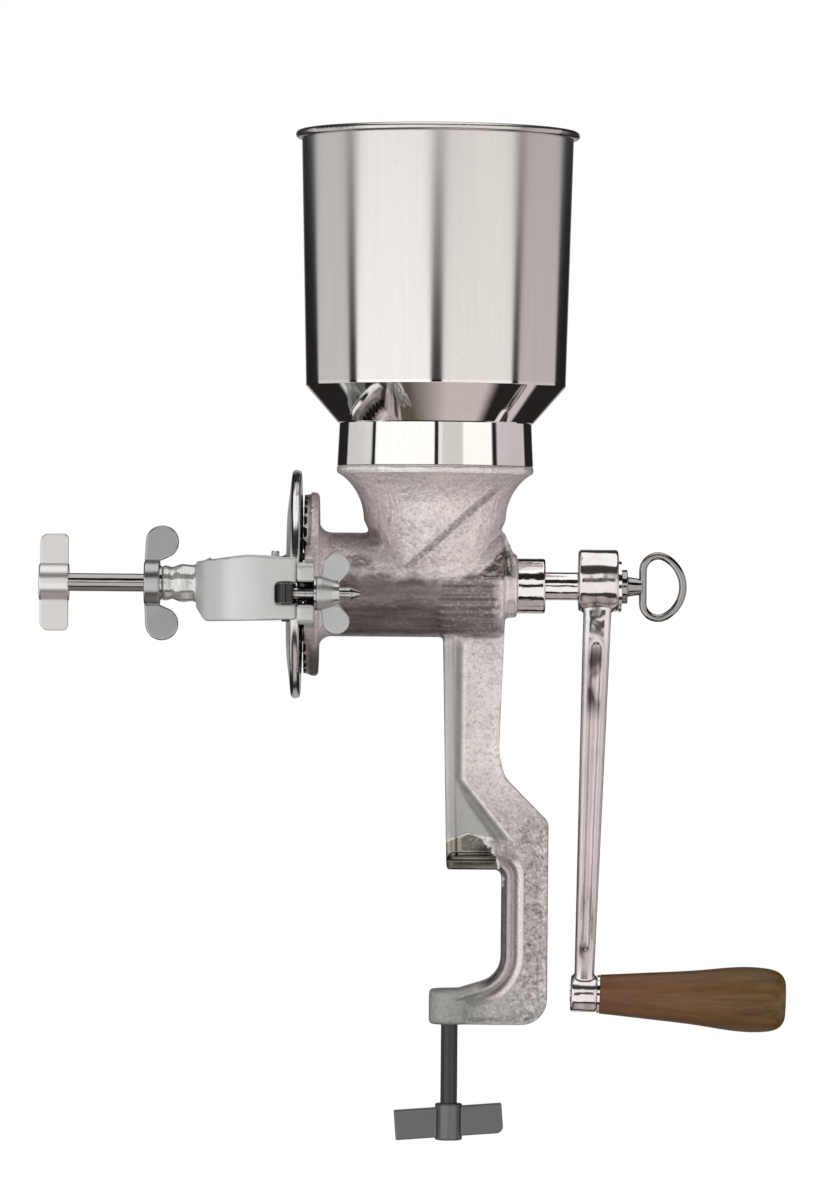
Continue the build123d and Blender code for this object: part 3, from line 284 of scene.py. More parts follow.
def blend_colour(tree, share, first, second):
    """A colour between two, each a socket or a colour."""
    node = add(tree, "ShaderNodeMix", data_type="RGBA")
    for socket, value in ((node.inputs[0], share), (node.inputs[6], first), (node.inputs[7], second)):
        if hasattr(value, "is_output"):
            join(tree, value, socket)
        elif isinstance(value, (int, float)):
            socket.default_value = value
        else:
            socket.default_value = (*value[:3], 1)
    return node.outputs[2]


def tint(tree, skin, share, colour, amount=1.0):
    """The skin with a colour laid over it by this share."""
    return blend_colour(tree, calc(tree, "MULTIPLY", share, amount), skin, colour)


def times(colour, factor):
    """A colour made brighter or darker."""
    return [channel * factor for channel in colour]


def scaled(tree, value, low, high):
    """A 0 to 1 value spread between low and high."""
    node = add(tree, "ShaderNodeMapRange", {3: low, 4: high})
    join(tree, value, node.inputs[0])
    return node.outputs[0]


def place(tree, scale=(1, 1, 1), location=(0, 0, 0)):
    """Object coordinates through a Mapping node."""
    source = add(tree, "ShaderNodeTexCoord").outputs["Object"]
    mapping = add(tree, "ShaderNodeMapping")
    mapping.inputs["Location"].default_value = location
    mapping.inputs["Scale"].default_value = scale
    join(tree, source, mapping.inputs["Vector"])
    return mapping.outputs["Vector"]


def noise(tree, vector, scale, detail=3.0, rough=0.5, distortion=0.0):
    values = {"Scale": scale, "Detail": detail, "Roughness": rough, "Distortion": distortion}
    node = add(tree, "ShaderNodeTexNoise", values)
    join(tree, vector, node.inputs["Vector"])
    return node.outputs["Fac"]


def bumped(tree, height, strength, distance):
    node = add(tree, "ShaderNodeBump", {"Strength": strength, "Distance": distance})
    join(tree, height, node.inputs["Height"])
    return node.outputs["Normal"]


def group_of(name, inputs, outputs):
    """An empty shader group with float inputs and float outputs, and its two end nodes."""
    tree = bpy.data.node_groups.new(name, "ShaderNodeTree")
    for label, default in inputs.items():
        socket = tree.interface.new_socket(label, in_out="INPUT", socket_type="NodeSocketFloat")
        socket.default_value = default
    for label in outputs:
        tree.interface.new_socket(label, in_out="OUTPUT", socket_type="NodeSocketFloat")
    return tree, add(tree, "NodeGroupInput"), add(tree, "NodeGroupOutput")


def sand_skin_group():
    """The skin that a sand mould leaves: fine grit, pits and a slow change of tone."""
    outputs = ("Height", "Speckle", "Glint", "Tone")
    tree, given, result = group_of("sand skin", {"Grit": 900.0, "Patch": 45.0}, outputs)
    vector = place(tree)
    grit = add(tree, "ShaderNodeTexNoise", {"Detail": 3.0, "Roughness": 0.6})
    join(tree, vector, grit.inputs["Vector"])
    join(tree, given.outputs["Grit"], grit.inputs["Scale"])
    coarse = add(tree, "ShaderNodeTexNoise", {"Detail": 2.0, "Roughness": 0.5})
    join(tree, vector, coarse.inputs["Vector"])
    join(tree, calc(tree, "MULTIPLY", given.outputs["Grit"], 0.33), coarse.inputs["Scale"])
    patch = add(tree, "ShaderNodeTexNoise", {"Detail": 2.0, "Roughness": 0.5, "Distortion": 0.6})
    join(tree, vector, patch.inputs["Vector"])
    join(tree, given.outputs["Patch"], patch.inputs["Scale"])
    both = calc(tree, "ADD", grit.outputs["Fac"], calc(tree, "MULTIPLY", coarse.outputs["Fac"], 1.4))
    join(tree, both, result.inputs["Height"])
    join(tree, slope(tree, grit.outputs["Fac"], 0.52, 0.72), result.inputs["Speckle"])
    join(tree, slope(tree, grit.outputs["Fac"], 0.46, 0.3), result.inputs["Glint"])
    join(tree, patch.outputs["Fac"], result.inputs["Tone"])
    return tree


def edge_group():
    """How far the surface turns within a small radius: high on edges, where the finishes lay wear and painted
    highlights.
    """
    tree, given, result = group_of("worn and highlit edge", {"Radius": 0.0008}, ("Edge",))
    soft = add(tree, "ShaderNodeBevel", samples=4)
    join(tree, given.outputs["Radius"], soft.inputs["Radius"])
    here = add(tree, "ShaderNodeNewGeometry")
    dot = add(tree, "ShaderNodeVectorMath", operation="DOT_PRODUCT")
    join(tree, soft.outputs["Normal"], dot.inputs[0])
    join(tree, here.outputs["Normal"], dot.inputs[1])
    join(tree, slope(tree, dot.outputs["Value"], 0.995, 0.8), result.inputs["Edge"])
    return tree


def handling_group():
    """Slow smudges and fine hairlines of a surface that has been handled."""
    tree, given, result = group_of("handled", {"Smudge": 70.0, "Hair": 1500.0}, ("Smudge", "Hair"))
    vector = place(tree)
    smudge = add(tree, "ShaderNodeTexNoise", {"Detail": 4.0, "Roughness": 0.6, "Distortion": 0.4})
    join(tree, vector, smudge.inputs["Vector"])
    join(tree, given.outputs["Smudge"], smudge.inputs["Scale"])
    join(tree, smudge.outputs["Fac"], result.inputs["Smudge"])
    streak = place(tree, scale=(0.06, 1, 1))
    hair = add(tree, "ShaderNodeTexNoise", {"Detail": 2.0})
    join(tree, streak, hair.inputs["Vector"])
    join(tree, given.outputs["Hair"], hair.inputs["Scale"])
    join(tree, hair.outputs["Fac"], result.inputs["Hair"])
    return tree


GROUPS = {}


def group_node(tree, key, **values):
    """A shared group placed in a material with its own values; it is built at its first use."""
    makers = {"sand": sand_skin_group, "edge": edge_group, "handled": handling_group}
    if key not in GROUPS:
        GROUPS[key] = makers[key]()
    node = add(tree, "ShaderNodeGroup", node_tree=GROUPS[key])
    for name, value in values.items():
        node.inputs[name].default_value = value
    return node


def new_material(name):
    """An empty material with its shader and output joined."""
    material = bpy.data.materials.new(name)
    material.use_nodes = True
    tree = material.node_tree
    tree.nodes.clear()
    shader = add(tree, "ShaderNodeBsdfPrincipled")
    output = add(tree, "ShaderNodeOutputMaterial")
    join(tree, shader.outputs["BSDF"], output.inputs["Surface"])
    return material, tree, shader


# ---- finishes ----
def cast_finish(name, light, dark, rough, grit=900.0, depth=0.25, metallic=0.85):
    """Bare casting: grit in relief, darker pits, edges worn bright and lightened with a painted highlight."""
    material, tree, shader = new_material(name)
    sand = group_node(tree, "sand", Grit=grit)
    edge = group_node(tree, "edge", Radius=0.0012)
    base = blend_colour(tree, scaled(tree, sand.outputs["Tone"], -0.2, 1.1), dark, light)
    base = tint(tree, base, sand.outputs["Speckle"], times(dark, 0.35), 0.45)
    base = tint(tree, base, edge.outputs["Edge"], (0.9, 0.88, 0.87), 0.6)
    join(tree, base, shader.inputs["Base Color"])
    dull = scaled(tree, sand.outputs["Speckle"], rough, rough + 0.2)
    dull = calc(tree, "SUBTRACT", dull, scaled(tree, edge.outputs["Edge"], 0, 0.15), clamp=True)
    join(tree, dull, shader.inputs["Roughness"])
    shader.inputs["Metallic"].default_value = metallic
    join(tree, bumped(tree, sand.outputs["Height"], 1.0, depth * MM), shader.inputs["Normal"])
    return material


def ramp(tree, value, stops):
    """A colour read off a list of stops: a value and the colour there."""
    low, high = stops[0][0], stops[-1][0]
    node = add(tree, "ShaderNodeValToRGB")
    marks = node.color_ramp.elements
    while len(marks) < len(stops):
        marks.new(0.5)
    for mark, (at, colour) in zip(marks, stops):
        mark.position = (at - low) / (high - low)
    for mark, (at, colour) in zip(marks, stops):
        mark.color = (*colour, 1)
    join(tree, slope(tree, value, low, high), node.inputs[0])
    return node.outputs[0]


def slot_shade_mask(tree, axes, span, half, from_y, side, soft):
    """Where a bolt's slot shows, to be darkened with painted shade: a span of X, half its height, and Y from the
    bell to near its outer side.
    The softness is that of its ends in X and of its two edges in Z."""
    return product(
        tree, band(tree, axes["X"], *span, soft[0]),
        band(tree, axes["Z"], BOLT_Z - half, BOLT_Z + half, soft[1]),
        band(tree, calc(tree, "ABSOLUTE", axes["Y"]), from_y, side - 0.0012, 0.0004),
    )


def body_finish(name, light, dull, barrel):
    """Tinned grey casting: bright throat and leg, a painted dark reflection on the barrel, a coarser clamp frame.
    """
    material, tree, shader = new_material(name)
    sand = group_node(tree, "sand", Grit=620.0, Patch=60.0).outputs
    edge = group_node(tree, "edge", Radius=0.0014).outputs["Edge"]
    wander = noise(tree, place(tree), 90.0, detail=3.0)
    shift = scaled(tree, wander, -0.006, 0.006)
    axes = object_axes(tree)
    x, z = calc(tree, "ADD", axes["X"], shift), calc(tree, "ADD", axes["Z"], shift)
    skin = ramp(tree, z, (
        (-0.078, [c * k for c, k in zip(dull, (0.82, 0.9, 0.86))]), (-0.052, times(dull, 1.12)), (0.02, dull),
        (0.05, light), (0.11, times(light, 1.04)), (0.2, times(light, 0.97)),
    ))
    coarse = product(tree, slope(tree, x, *COARSE_X, soft=True), slope(tree, z, *COARSE_Z, soft=True))
    skin = tint(tree, skin, coarse, dull, 0.45)
    skin, barrel_shade = paint_barrel_shade(tree, sand, x, z, skin, barrel)

    fan = calc(tree, "ADD", calc(tree, "MULTIPLY", axes["Z"], FAN_SLOPE), FAN_X)
    away = calc(tree, "SUBTRACT", axes["X"], highest(tree, fan, LEG_EDGE_X))
    leg = band(tree, z, *LEG_Z, 0.003)
    strip = product(tree, band(tree, away, -0.05, 0.0, 0.001), leg)
    clean = calc(tree, "SUBTRACT", rest_of(tree, product(tree, barrel_shade, 0.8)), product(tree, strip, 0.6), clamp=True)

    # grain: patches, pits, tops and painted glints
    skin = tint(tree, skin, highest(tree, scaled(tree, sand["Tone"], 0.55, -0.15), 0.0), times(dull, 0.62))
    deep = product(tree, clean, scaled(tree, coarse, 0.42, 0.78))
    skin = tint(tree, skin, product(tree, sand["Speckle"], deep), (0.12, 0.105, 0.105))
    lumps = noise(tree, place(tree), 330.0, detail=2.5, rough=0.6)
    grains = product(tree, clean, scaled(tree, coarse, 0.25, 1.0))
    skin = tint(tree, skin, product(tree, slope(tree, lumps, 0.53, 0.66, 0.62), grains), (0.13, 0.115, 0.115))
    skin = tint(tree, skin, product(tree, slope(tree, lumps, 0.46, 0.34, 0.6), grains), (0.85, 0.80, 0.80))
    skin = tint(tree, skin, product(tree, sand["Glint"], clean), (1.0, 0.97, 0.97), 0.5)

    # the leg's flat side, painted shade in the groove and a painted highlight along its edge, and the greenish
    # lower arm
    skin = tint(tree, skin, strip, (0.42, 0.44, 0.425), 0.75)
    skin = tint(tree, skin, product(tree, leg, band(tree, away, -0.0034, -0.0006, 0.0008)), (0.2, 0.2, 0.19), 0.6)
    skin = tint(tree, skin, product(tree, leg, band(tree, away, 0.0004, 0.0016, 0.0005)), (0.95, 0.93, 0.92), 0.7)
    arm = product(tree, band(tree, x, *LOWER_ARM_X, 0.008), band(tree, z, *LOWER_ARM_Z, 0.002))
    skin = tint(tree, skin, arm, (0.27, 0.30, 0.28), 0.65)

    # worked faces: the throat's rim and the rear boss, machined and lightened with a painted highlight; the ears,
    # and their slots darkened with painted shade
    boss = product(tree, band(tree, axes["X"], *BOSS_X, 0.0005), band(tree, z, *BOSS_Z, 0.001))
    bright = highest(tree, band(tree, axes["Z"], *RIM_Z, 0.0004), boss)
    skin = tint(tree, skin, bright, (0.80, 0.77, 0.76), 0.85)
    pads = calc(tree, "LESS_THAN", axes["Y"], PADS_Y)
    skin = tint(tree, skin, pads, (0.58, 0.61, 0.59))
    # painted shade: the inside of the ears' slots is darkened
    slot = slot_shade_mask(tree, axes, EAR_SLOT_X, EAR_SLOT_HALF, 0.045, EAR_SIDE, (0.0005, 0.0006))
    skin = tint(tree, skin, slot, (0.02, 0.018, 0.016), 0.96)
    skin, hem = paint_hem_shading(tree, axes, skin)
    skin, shiny_patch = paint_shiny_patches(tree, x, z, skin)
    worked = highest(tree, bright, slot, hem, shiny_patch)
    # painted shade darkens the lower flange
    low_flange_shade = product(tree, band(tree, x, *LOW_FLANGE_X, 0.002), band(tree, z, *LOW_FLANGE_Z, 0.008))
    skin = tint(tree, skin, low_flange_shade, (0.07, 0.055, 0.05), 0.88)

    seam = calc(tree, "ADD", calc(tree, "MULTIPLY", x, SEAM[0]), calc(tree, "MULTIPLY", z, SEAM[1]))
    seam = band(tree, calc(tree, "ADD", seam, SEAM[2]), -0.0014, 0.0014, 0.001)
    seam = product(tree, seam, band(tree, z, *SEAM_Z, 0.004), calc(tree, "LESS_THAN", axes["Y"], 0.0))
    broken = scaled(tree, noise(tree, place(tree), 700.0, detail=2.0), -0.6, 2.4)
    seam = calc(tree, "MULTIPLY", seam, broken, clamp=True)
    skin = tint(tree, skin, seam, (0.12, 0.10, 0.10), 0.55)
    # edges worn bright and lightened with a painted highlight, except on the hem, the slots and the shiny patches
    rubbed_and_highlit = product(tree, edge, rest_of(tree, highest(tree, hem, slot, shiny_patch)))
    join(tree, tint(tree, skin, rubbed_and_highlit, (0.98, 0.96, 0.95), 0.75), shader.inputs["Base Color"])

    dry = scaled(tree, sand["Speckle"], 0.36, 0.55)
    for share, less in ((barrel_shade, 0.1), (worked, 0.14), (shiny_patch, 0.03)):
        dry = calc(tree, "SUBTRACT", dry, product(tree, share, less))
    dry = calc(tree, "SUBTRACT", dry, product(tree, edge, 0.14), clamp=True)
    join(tree, dry, shader.inputs["Roughness"])
    join(tree, scaled(tree, shiny_patch, 0.5, 1.0), shader.inputs["Metallic"])

    smooth = highest(tree, worked, pads)
    grain = calc(tree, "SUBTRACT", product(tree, clean, 1.5), product(tree, smooth, 1.5))
    height = product(tree, sand["Height"], highest(tree, grain, 0.012))
    dents = noise(tree, place(tree, scale=(1, 1, 0.55)), 75.0, detail=3.0, rough=0.55, distortion=1.2)
    for relief in (
        product(tree, seam, 1.8), product(tree, wander, scaled(tree, shiny_patch, 2.5, 0.0)),
        product(tree, lumps, grains, rest_of(tree, smooth), 2.2),
        product(tree, dents, band(tree, z, *THROAT_Z, 0.004), 6.0),
    ):
        height = calc(tree, "ADD", height, relief)
    join(tree, bumped(tree, height, 1.0, 0.3 * MM), shader.inputs["Normal"])
    return material


def paint_barrel_shade(tree, sand, x, z, skin, barrel):
    """A dark reflection painted in streaks along the barrel, thinner on its ribs where painted glints show through,
    and darkest underneath with painted shade.
    """
    drawn = noise(tree, place(tree, scale=(0.12, 1, 1)), 330.0, detail=3.0)
    barrel_shade = product(tree, band(tree, z, *BARREL_SHADE_Z, 0.0035), band(tree, x, *BARREL_SHADE_X, 0.004))
    barrel_dark = blend_colour(tree, scaled(tree, drawn, -0.4, 1.4), times(barrel, 0.45), times(barrel, 1.1))
    barrel_dark = tint(tree, barrel_dark, slope(tree, z, *BARREL_UNDERSIDE_Z), times(barrel, 0.3), 0.55)
    # painted highlights: glints on the ribs thin the dark reflection so the lighter skin shows
    ribs = product(tree, band(tree, x, *RIBS_X, 0.004), scaled(tree, sand["Glint"], 0.1, 0.9))
    cover = calc(tree, "SUBTRACT", scaled(tree, drawn, 1.1, 0.75), product(tree, ribs, 0.4))
    return blend_colour(tree, calc(tree, "MULTIPLY", barrel_shade, cover, clamp=True), skin, barrel_dark), barrel_shade


def paint_hem_shading(tree, axes, skin):
    """The rounded hem that runs round the clamp's mouth, its shade and highlights painted as bands by the distance
    from the mouth's edge.
    """
    rounds = []
    for centre_x, centre_z, radius, side in MOUTH_ROUNDS:
        across = highest(tree, calc(tree, "SUBTRACT", axes["X"], centre_x), 0.0)
        along = calc(tree, "MULTIPLY", calc(tree, "SUBTRACT", axes["Z"], centre_z), side)
        along = highest(tree, along, 0.0)
        square = calc(tree, "ADD", product(tree, across, across), product(tree, along, along))
        rounds.append(calc(tree, "SUBTRACT", calc(tree, "SQRT", square), radius))
    away = highest(tree, *rounds)
    here = product(
        tree, band(tree, away, *HEM_REACH, 0.0006), band(tree, axes["X"], *HEM_X, 0.004),
        band(tree, axes["Z"], *HEM_Z, 0.003),
    )
    painted_bands = ramp(tree, away, (
        (0.0, (0.03, 0.027, 0.027)), (0.0018, (0.04, 0.036, 0.036)), (0.0024, (0.50, 0.47, 0.47)),
        (0.0052, (0.50, 0.47, 0.47)), (0.0060, (0.24, 0.21, 0.21)), (0.0072, (0.30, 0.27, 0.27)),
        (0.0079, (0.92, 0.89, 0.89)), (0.0102, (0.85, 0.81, 0.81)), (0.0108, (0.40, 0.37, 0.37)),
    ))
    return tint(tree, skin, here, painted_bands, 0.88), product(tree, here, 0.8)


def paint_shiny_patches(tree, x, z, skin):
    """Shiny corners at the jaw, the neck and the rear boss, with dark reflections and a highlight along the jaw's
    edge painted into their colour.
    """
    flow = noise(tree, place(tree, scale=(0.5, 0.6, 1.4)), 62.0, detail=0.0, distortion=0.5)
    arch = calc(tree, "MULTIPLY", calc(tree, "ABSOLUTE", calc(tree, "ADD", x, 0.004)), 0.45)
    arched = calc(tree, "ADD", calc(tree, "ADD", z, arch), scaled(tree, flow, -0.004, 0.004))
    jaw = product(tree, band(tree, arched, *JAW_Z, 0.0018), band(tree, x, *JAW_X, 0.0015))
    slant = calc(tree, "SUBTRACT", calc(tree, "SUBTRACT", z, x), 0.145)
    boss = product(
        tree, band(tree, slant, -0.02, 0.002, 0.0015), band(tree, x, *BOSS_CORNER_X, 0.001),
        band(tree, z, *BOSS_CORNER_Z, 0.001),
    )
    wavy = calc(tree, "ADD", z, scaled(tree, flow, -0.008, 0.008))
    neck = product(tree, band(tree, x, *NECK_X, 0.002), band(tree, wavy, *NECK_Z, 0.002))
    shiny_patch = highest(tree, jaw, product(tree, boss, 0.75), product(tree, neck, 0.4))
    # painted dark reflections, in bands that follow a slow noise
    painted_bands = ramp(tree, flow, (
        (0.28, (0.36, 0.34, 0.29)), (0.40, (0.14, 0.13, 0.105)), (0.50, (0.075, 0.068, 0.055)),
        (0.60, (0.14, 0.13, 0.11)), (0.72, (0.36, 0.34, 0.30)),
    ))
    skin = tint(tree, skin, shiny_patch, painted_bands, 0.92)
    # painted highlight along the edge of the jaw's patch
    return tint(tree, skin, product(tree, jaw, rest_of(tree, jaw)), (0.88, 0.87, 0.84), 3.2), shiny_patch


def plated_finish(
    name, colour, rough, smudge=0.06, metallic=1.0, lumps=0.0, lump_scale=130.0, hub=None, span=None, shine=None,
    slot_from=None
):
    """Plated or polished steel with smudges, fine hairlines and a painted highlight on its edges. A hub (Y, Z,
    radius) round an axis along X, or a span of X, is polished brighter and has the turning marks of its last cut.
    From slot_from in X, the slot through the yoke's sides is darkened inside with painted shade."""
    hair = 0.02  # depth of the hairlines in millimetres
    material, tree, shader = new_material(name)
    used = group_node(tree, "handled").outputs
    edge = group_node(tree, "edge", Radius=0.0004).outputs["Edge"]
    base = blend_colour(tree, scaled(tree, used["Smudge"], 0, 0.5), colour, times(colour, 0.82))
    base = tint(tree, base, edge, (0.95, 0.94, 0.93), 0.5)
    dull = scaled(tree, used["Smudge"], rough - smudge, rough + smudge)
    if hub or span:
        if hub:
            polished = band(tree, distance_from(tree, hub[0], hub[1]), -1.0, hub[2], 0.0006)
        else:
            polished = band(tree, object_axes(tree)["X"], *span, 0.0015)
        turned = noise(tree, place(tree, scale=(1, 0.1, 0.1)), 1300.0, detail=1.0)
        shine = shine or [min(1, c * 1.3) for c in colour]
        shiny = blend_colour(tree, scaled(tree, turned, -0.6, 1.2), shine, times(shine, 0.55))
        base = tint(tree, base, polished, shiny, 0.9)
        dull = calc(tree, "SUBTRACT", dull, calc(tree, "MULTIPLY", polished, max(rough - 0.1, 0.0)))
    if slot_from is not None:
        span_of_slot = (slot_from, 0.0)
        axes = object_axes(tree)
        inside = slot_shade_mask(tree, axes, span_of_slot, YOKE_SLOT_HALF, 0.04, YOKE_SIDE, (0.0006, 0.0005))
        base = tint(tree, base, inside, (0.012, 0.011, 0.01), 0.97)
    join(tree, base, shader.inputs["Base Color"])
    join(tree, calc(tree, "ADD", dull, 0.0, clamp=True), shader.inputs["Roughness"])
    shader.inputs["Metallic"].default_value = metallic
    lumpy = noise(tree, place(tree), lump_scale, detail=1.5, distortion=0.4)
    height = calc(tree, "ADD", used["Hair"], calc(tree, "MULTIPLY", lumpy, lumps / hair))
    join(tree, bumped(tree, height, 1.0, hair * MM), shader.inputs["Normal"])
    return material


def crank_finish(name, head, arm):
    """Crank casting: a bright head and foot, a paler matt arm, painted shade in dark blotches down the groove and
    painted dark reflections on the head.
    """
    material, tree, shader = new_material(name)
    smudge = group_node(tree, "handled").outputs["Smudge"]
    edge = group_node(tree, "edge", Radius=0.0006).outputs["Edge"]
    axes = object_axes(tree)
    z = axes["Z"]
    matt = band(tree, z, *ARM_Z, 0.012)
    base = blend_colour(tree, matt, head, arm)
    base = blend_colour(tree, scaled(tree, smudge, -0.1, 0.7), base, times(arm, 0.72))
    blotch = noise(tree, place(tree, scale=(1, 1, 0.4)), 150.0, detail=2.0, distortion=0.2)
    middle = calc(tree, "ADD", calc(tree, "MULTIPLY", z, GROOVE_SLOPE), GROOVE_X)
    groove = band(tree, calc(tree, "SUBTRACT", axes["X"], middle), -GROOVE_HALF, GROOVE_HALF, 0.0008)
    painted_darks = []
    for low, high, most in CRANK_DARK_PATCHES:
        in_groove = high < HEAD_FOOT_Z
        here = product(
            tree, band(tree, z, low, high, 0.007 if in_groove else 0.002),
            slope(tree, blotch, 0.56 - most, 0.74 - most),
        )
        painted_darks.append(product(tree, here, groove) if in_groove else here)
    painted_dark = highest(tree, *painted_darks)
    # painted shade in the groove and painted dark reflections on the head
    base = tint(tree, base, painted_dark, (0.04, 0.032, 0.028), 0.9)
    # painted highlight: the crank's edges are lightened
    base = tint(tree, base, edge, (0.97, 0.95, 0.94), 0.45)
    join(tree, base, shader.inputs["Base Color"])
    dull = calc(tree, "ADD", scaled(tree, smudge, 0.04, 0.16), product(tree, matt, 0.2))
    join(tree, calc(tree, "ADD", dull, product(tree, painted_dark, 0.15)), shader.inputs["Roughness"])
    shader.inputs["Metallic"].default_value = 0.95
    lumpy = noise(tree, place(tree), 75.0, detail=1.5, distortion=0.4)
    height = product(tree, lumpy, scaled(tree, matt, 36.0, 18.0))
    height = calc(tree, "ADD", height, product(tree, blotch, scaled(tree, matt, 3.0, 1.0)))
    join(tree, bumped(tree, height, 1.0, 0.02 * MM), shader.inputs["Normal"])
    return material


def sheet_finish(name, colour, rough_low, rough_high, wave, top):
    """Mirror-bright sheet metal: finer at its foot, hazier near the rim, faintly wavy."""
    material, tree, shader = new_material(name)
    used = group_node(tree, "handled", Smudge=30.0).outputs
    up = slope(tree, object_axes(tree)["Z"], HOPPER_LOW.z, HOPPER_HIGH.z)
    haze = scaled(tree, up, rough_low, rough_high)
    dull = calc(tree, "ADD", haze, scaled(tree, used["Smudge"], -0.02, 0.02), clamp=True)
    join(tree, dull, shader.inputs["Roughness"])
    # painted shade: the sheet's colour darkens towards the rim, where its reflections fade
    base = blend_colour(tree, up, colour, times(colour, top))
    streaks = noise(tree, place(tree, scale=(1, 1, 0.02)), 420.0, detail=3.0)
    base = blend_colour(tree, scaled(tree, streaks, -0.25, 0.45), base, times(colour, 0.86))
    fine = noise(tree, place(tree, scale=(1, 1, 0.6)), 900.0, detail=1.0)
    base = tint(tree, base, slope(tree, fine, 0.73, 0.79), times(colour, 0.45), 0.3)
    join(tree, base, shader.inputs["Base Color"])
    shader.inputs["Metallic"].default_value = 1.0
    waves = noise(tree, place(tree, scale=(1, 1, 0.25)), 16.0, detail=1.0)
    join(tree, bumped(tree, waves, 1.0, wave * MM), shader.inputs["Normal"])
    return material


def wood_finish(name, light, dark):
    """Varnished turned wood: rings drawn out along the grip, dark pores and a satin coat."""
    material, tree, shader = new_material(name)
    along = place(tree, scale=(0.07, 1, 1), location=(0, 0, 0.2))
    streak = noise(tree, along, 260.0, detail=5.0, rough=0.62, distortion=0.6)
    slow = noise(tree, place(tree, scale=(0.12, 1, 1)), 60.0, detail=2.0)
    pores = noise(tree, place(tree, scale=(0.035, 1, 1)), 1500.0, detail=2.0)
    share = calc(tree, "ADD", product(tree, streak, 0.75), product(tree, slow, 0.6))
    base = blend_colour(tree, slope(tree, share, 0.42, 0.88), dark, light)
    reddish = blend_colour(tree, 0.45, base, (0.20, 0.075, 0.045))
    base = blend_colour(tree, slope(tree, object_axes(tree)["X"], 0.075, 0.15), reddish, base)
    base = tint(tree, base, slope(tree, pores, 0.58, 0.7), times(dark, 0.4), 0.35)
    join(tree, base, shader.inputs["Base Color"])
    for label, value in (
        ("Roughness", 0.42), ("Specular IOR Level", 0.22), ("Coat Weight", 0.1), ("Coat Roughness", 0.22),
    ):
        shader.inputs[label].default_value = value
    join(tree, bumped(tree, streak, 0.5, 0.12 * MM), shader.inputs["Normal"])
    return material


# ---- settings ----
class MillStageSettings(bpy.types.PropertyGroup):
    distance: bpy.props.FloatProperty(
        name="Camera distance", description="From the camera to the mill's middle plane", default=3.3, unit="LENGTH"
    )
    picture: bpy.props.FloatVectorProperty(
        name="Picture size", description="What the picture spans in the middle plane", size=2, default=(0.4115, 0.6)
    )
    middle: bpy.props.FloatVectorProperty(
        name="Picture middle", description="X and Z at the picture's middle", size=2, default=(-0.03275, 0.134)
    )
    roll: bpy.props.FloatProperty(
        name="Camera roll", description="Turn about the line of sight", default=radians(0.5), unit="ROTATION"
    )
    floor_drop: bpy.props.FloatProperty(
        name="Floor drop", description="Free height under the clamp screw's handle", default=0.17, unit="LENGTH"
    )
    floor_colour: bpy.props.FloatVectorProperty(
        name="Floor", description="Colour of the floor", subtype="COLOR", default=(0.86, 0.86, 0.86)
    )
    light: bpy.props.FloatProperty(
        name="Light", description="Strength of the studio's light panels", default=1.0, min=0.0
    )


class MillCastingSettings(bpy.types.PropertyGroup):
    voxel: bpy.props.FloatProperty(
        name="Mould detail", description="Finest form that the castings keep", default=1.0 * MM, unit="LENGTH"
    )
    body_light: bpy.props.FloatVectorProperty(
        name="Body", description="Bright tinned skin", subtype="COLOR", default=(0.93, 0.85, 0.84)
    )
    body_dark: bpy.props.FloatVectorProperty(
        name="Body, dull", description="Dull tinned skin", subtype="COLOR", default=(0.52, 0.48, 0.47)
    )
    # the barrel's colour is a painted dark reflection, streaked along it
    barrel: bpy.props.FloatVectorProperty(
        name="Barrel", description="Greasy skin round the worm", subtype="COLOR", default=(0.145, 0.113, 0.108)
    )
    yoke: bpy.props.FloatVectorProperty(
        name="Yoke", description="Smooth grey skin", subtype="COLOR", default=(0.66, 0.68, 0.675)
    )
    crank: bpy.props.FloatVectorProperty(
        name="Crank", description="Polished head of the crank", subtype="COLOR", default=(0.98, 0.95, 0.945)
    )
    crank_arm: bpy.props.FloatVectorProperty(
        name="Crank arm", description="Matt arm of the crank", subtype="COLOR", default=(0.76, 0.69, 0.685)
    )


class MillSteelSettings(bpy.types.PropertyGroup):
    sheet: bpy.props.FloatVectorProperty(
        name="Sheet", description="Bright hopper sheet", subtype="COLOR", default=(0.845, 0.83, 0.82)
    )
    bright: bpy.props.FloatVectorProperty(
        name="Bright steel", description="Polished plated steel", subtype="COLOR", default=(0.95, 0.94, 0.93)
    )
    zinc: bpy.props.FloatVectorProperty(
        name="Zinc", description="Satin zinc plating", subtype="COLOR", default=(0.60, 0.61, 0.61)
    )
    dark: bpy.props.FloatVectorProperty(
        name="Dark steel", description="Oiled clamp screw", subtype="COLOR", default=(0.075, 0.08, 0.08)
    )


class MillGripSettings(bpy.types.PropertyGroup):
    light: bpy.props.FloatVectorProperty(
        name="Light wood", description="Between the grain lines", subtype="COLOR", default=(0.185, 0.108, 0.038)
    )
    dark: bpy.props.FloatVectorProperty(
        name="Dark wood", description="Grain lines", subtype="COLOR", default=(0.052, 0.026, 0.009)
    )


# ---- pieces ----
class MillOperator:
    bl_options = {"REGISTER", "UNDO"}


class MILL_OT_body(MillOperator, bpy.types.Operator):
    """Cast body with throat, barrel, flange, ears and clamp frame"""

    bl_idname = "mill.body"
    bl_label = "Mill body"

    def execute(self, context):
        casting = context.scene.mill_casting
        piece = cast_copy("mill_body", "body_casting", 0.9 * casting.voxel, 4, 195000)
        dress(piece, body_finish("tinned skin", casting.body_light, casting.body_dark, casting.barrel))
        stand_in(piece, "mill_body", "frame")
        return {"FINISHED"}


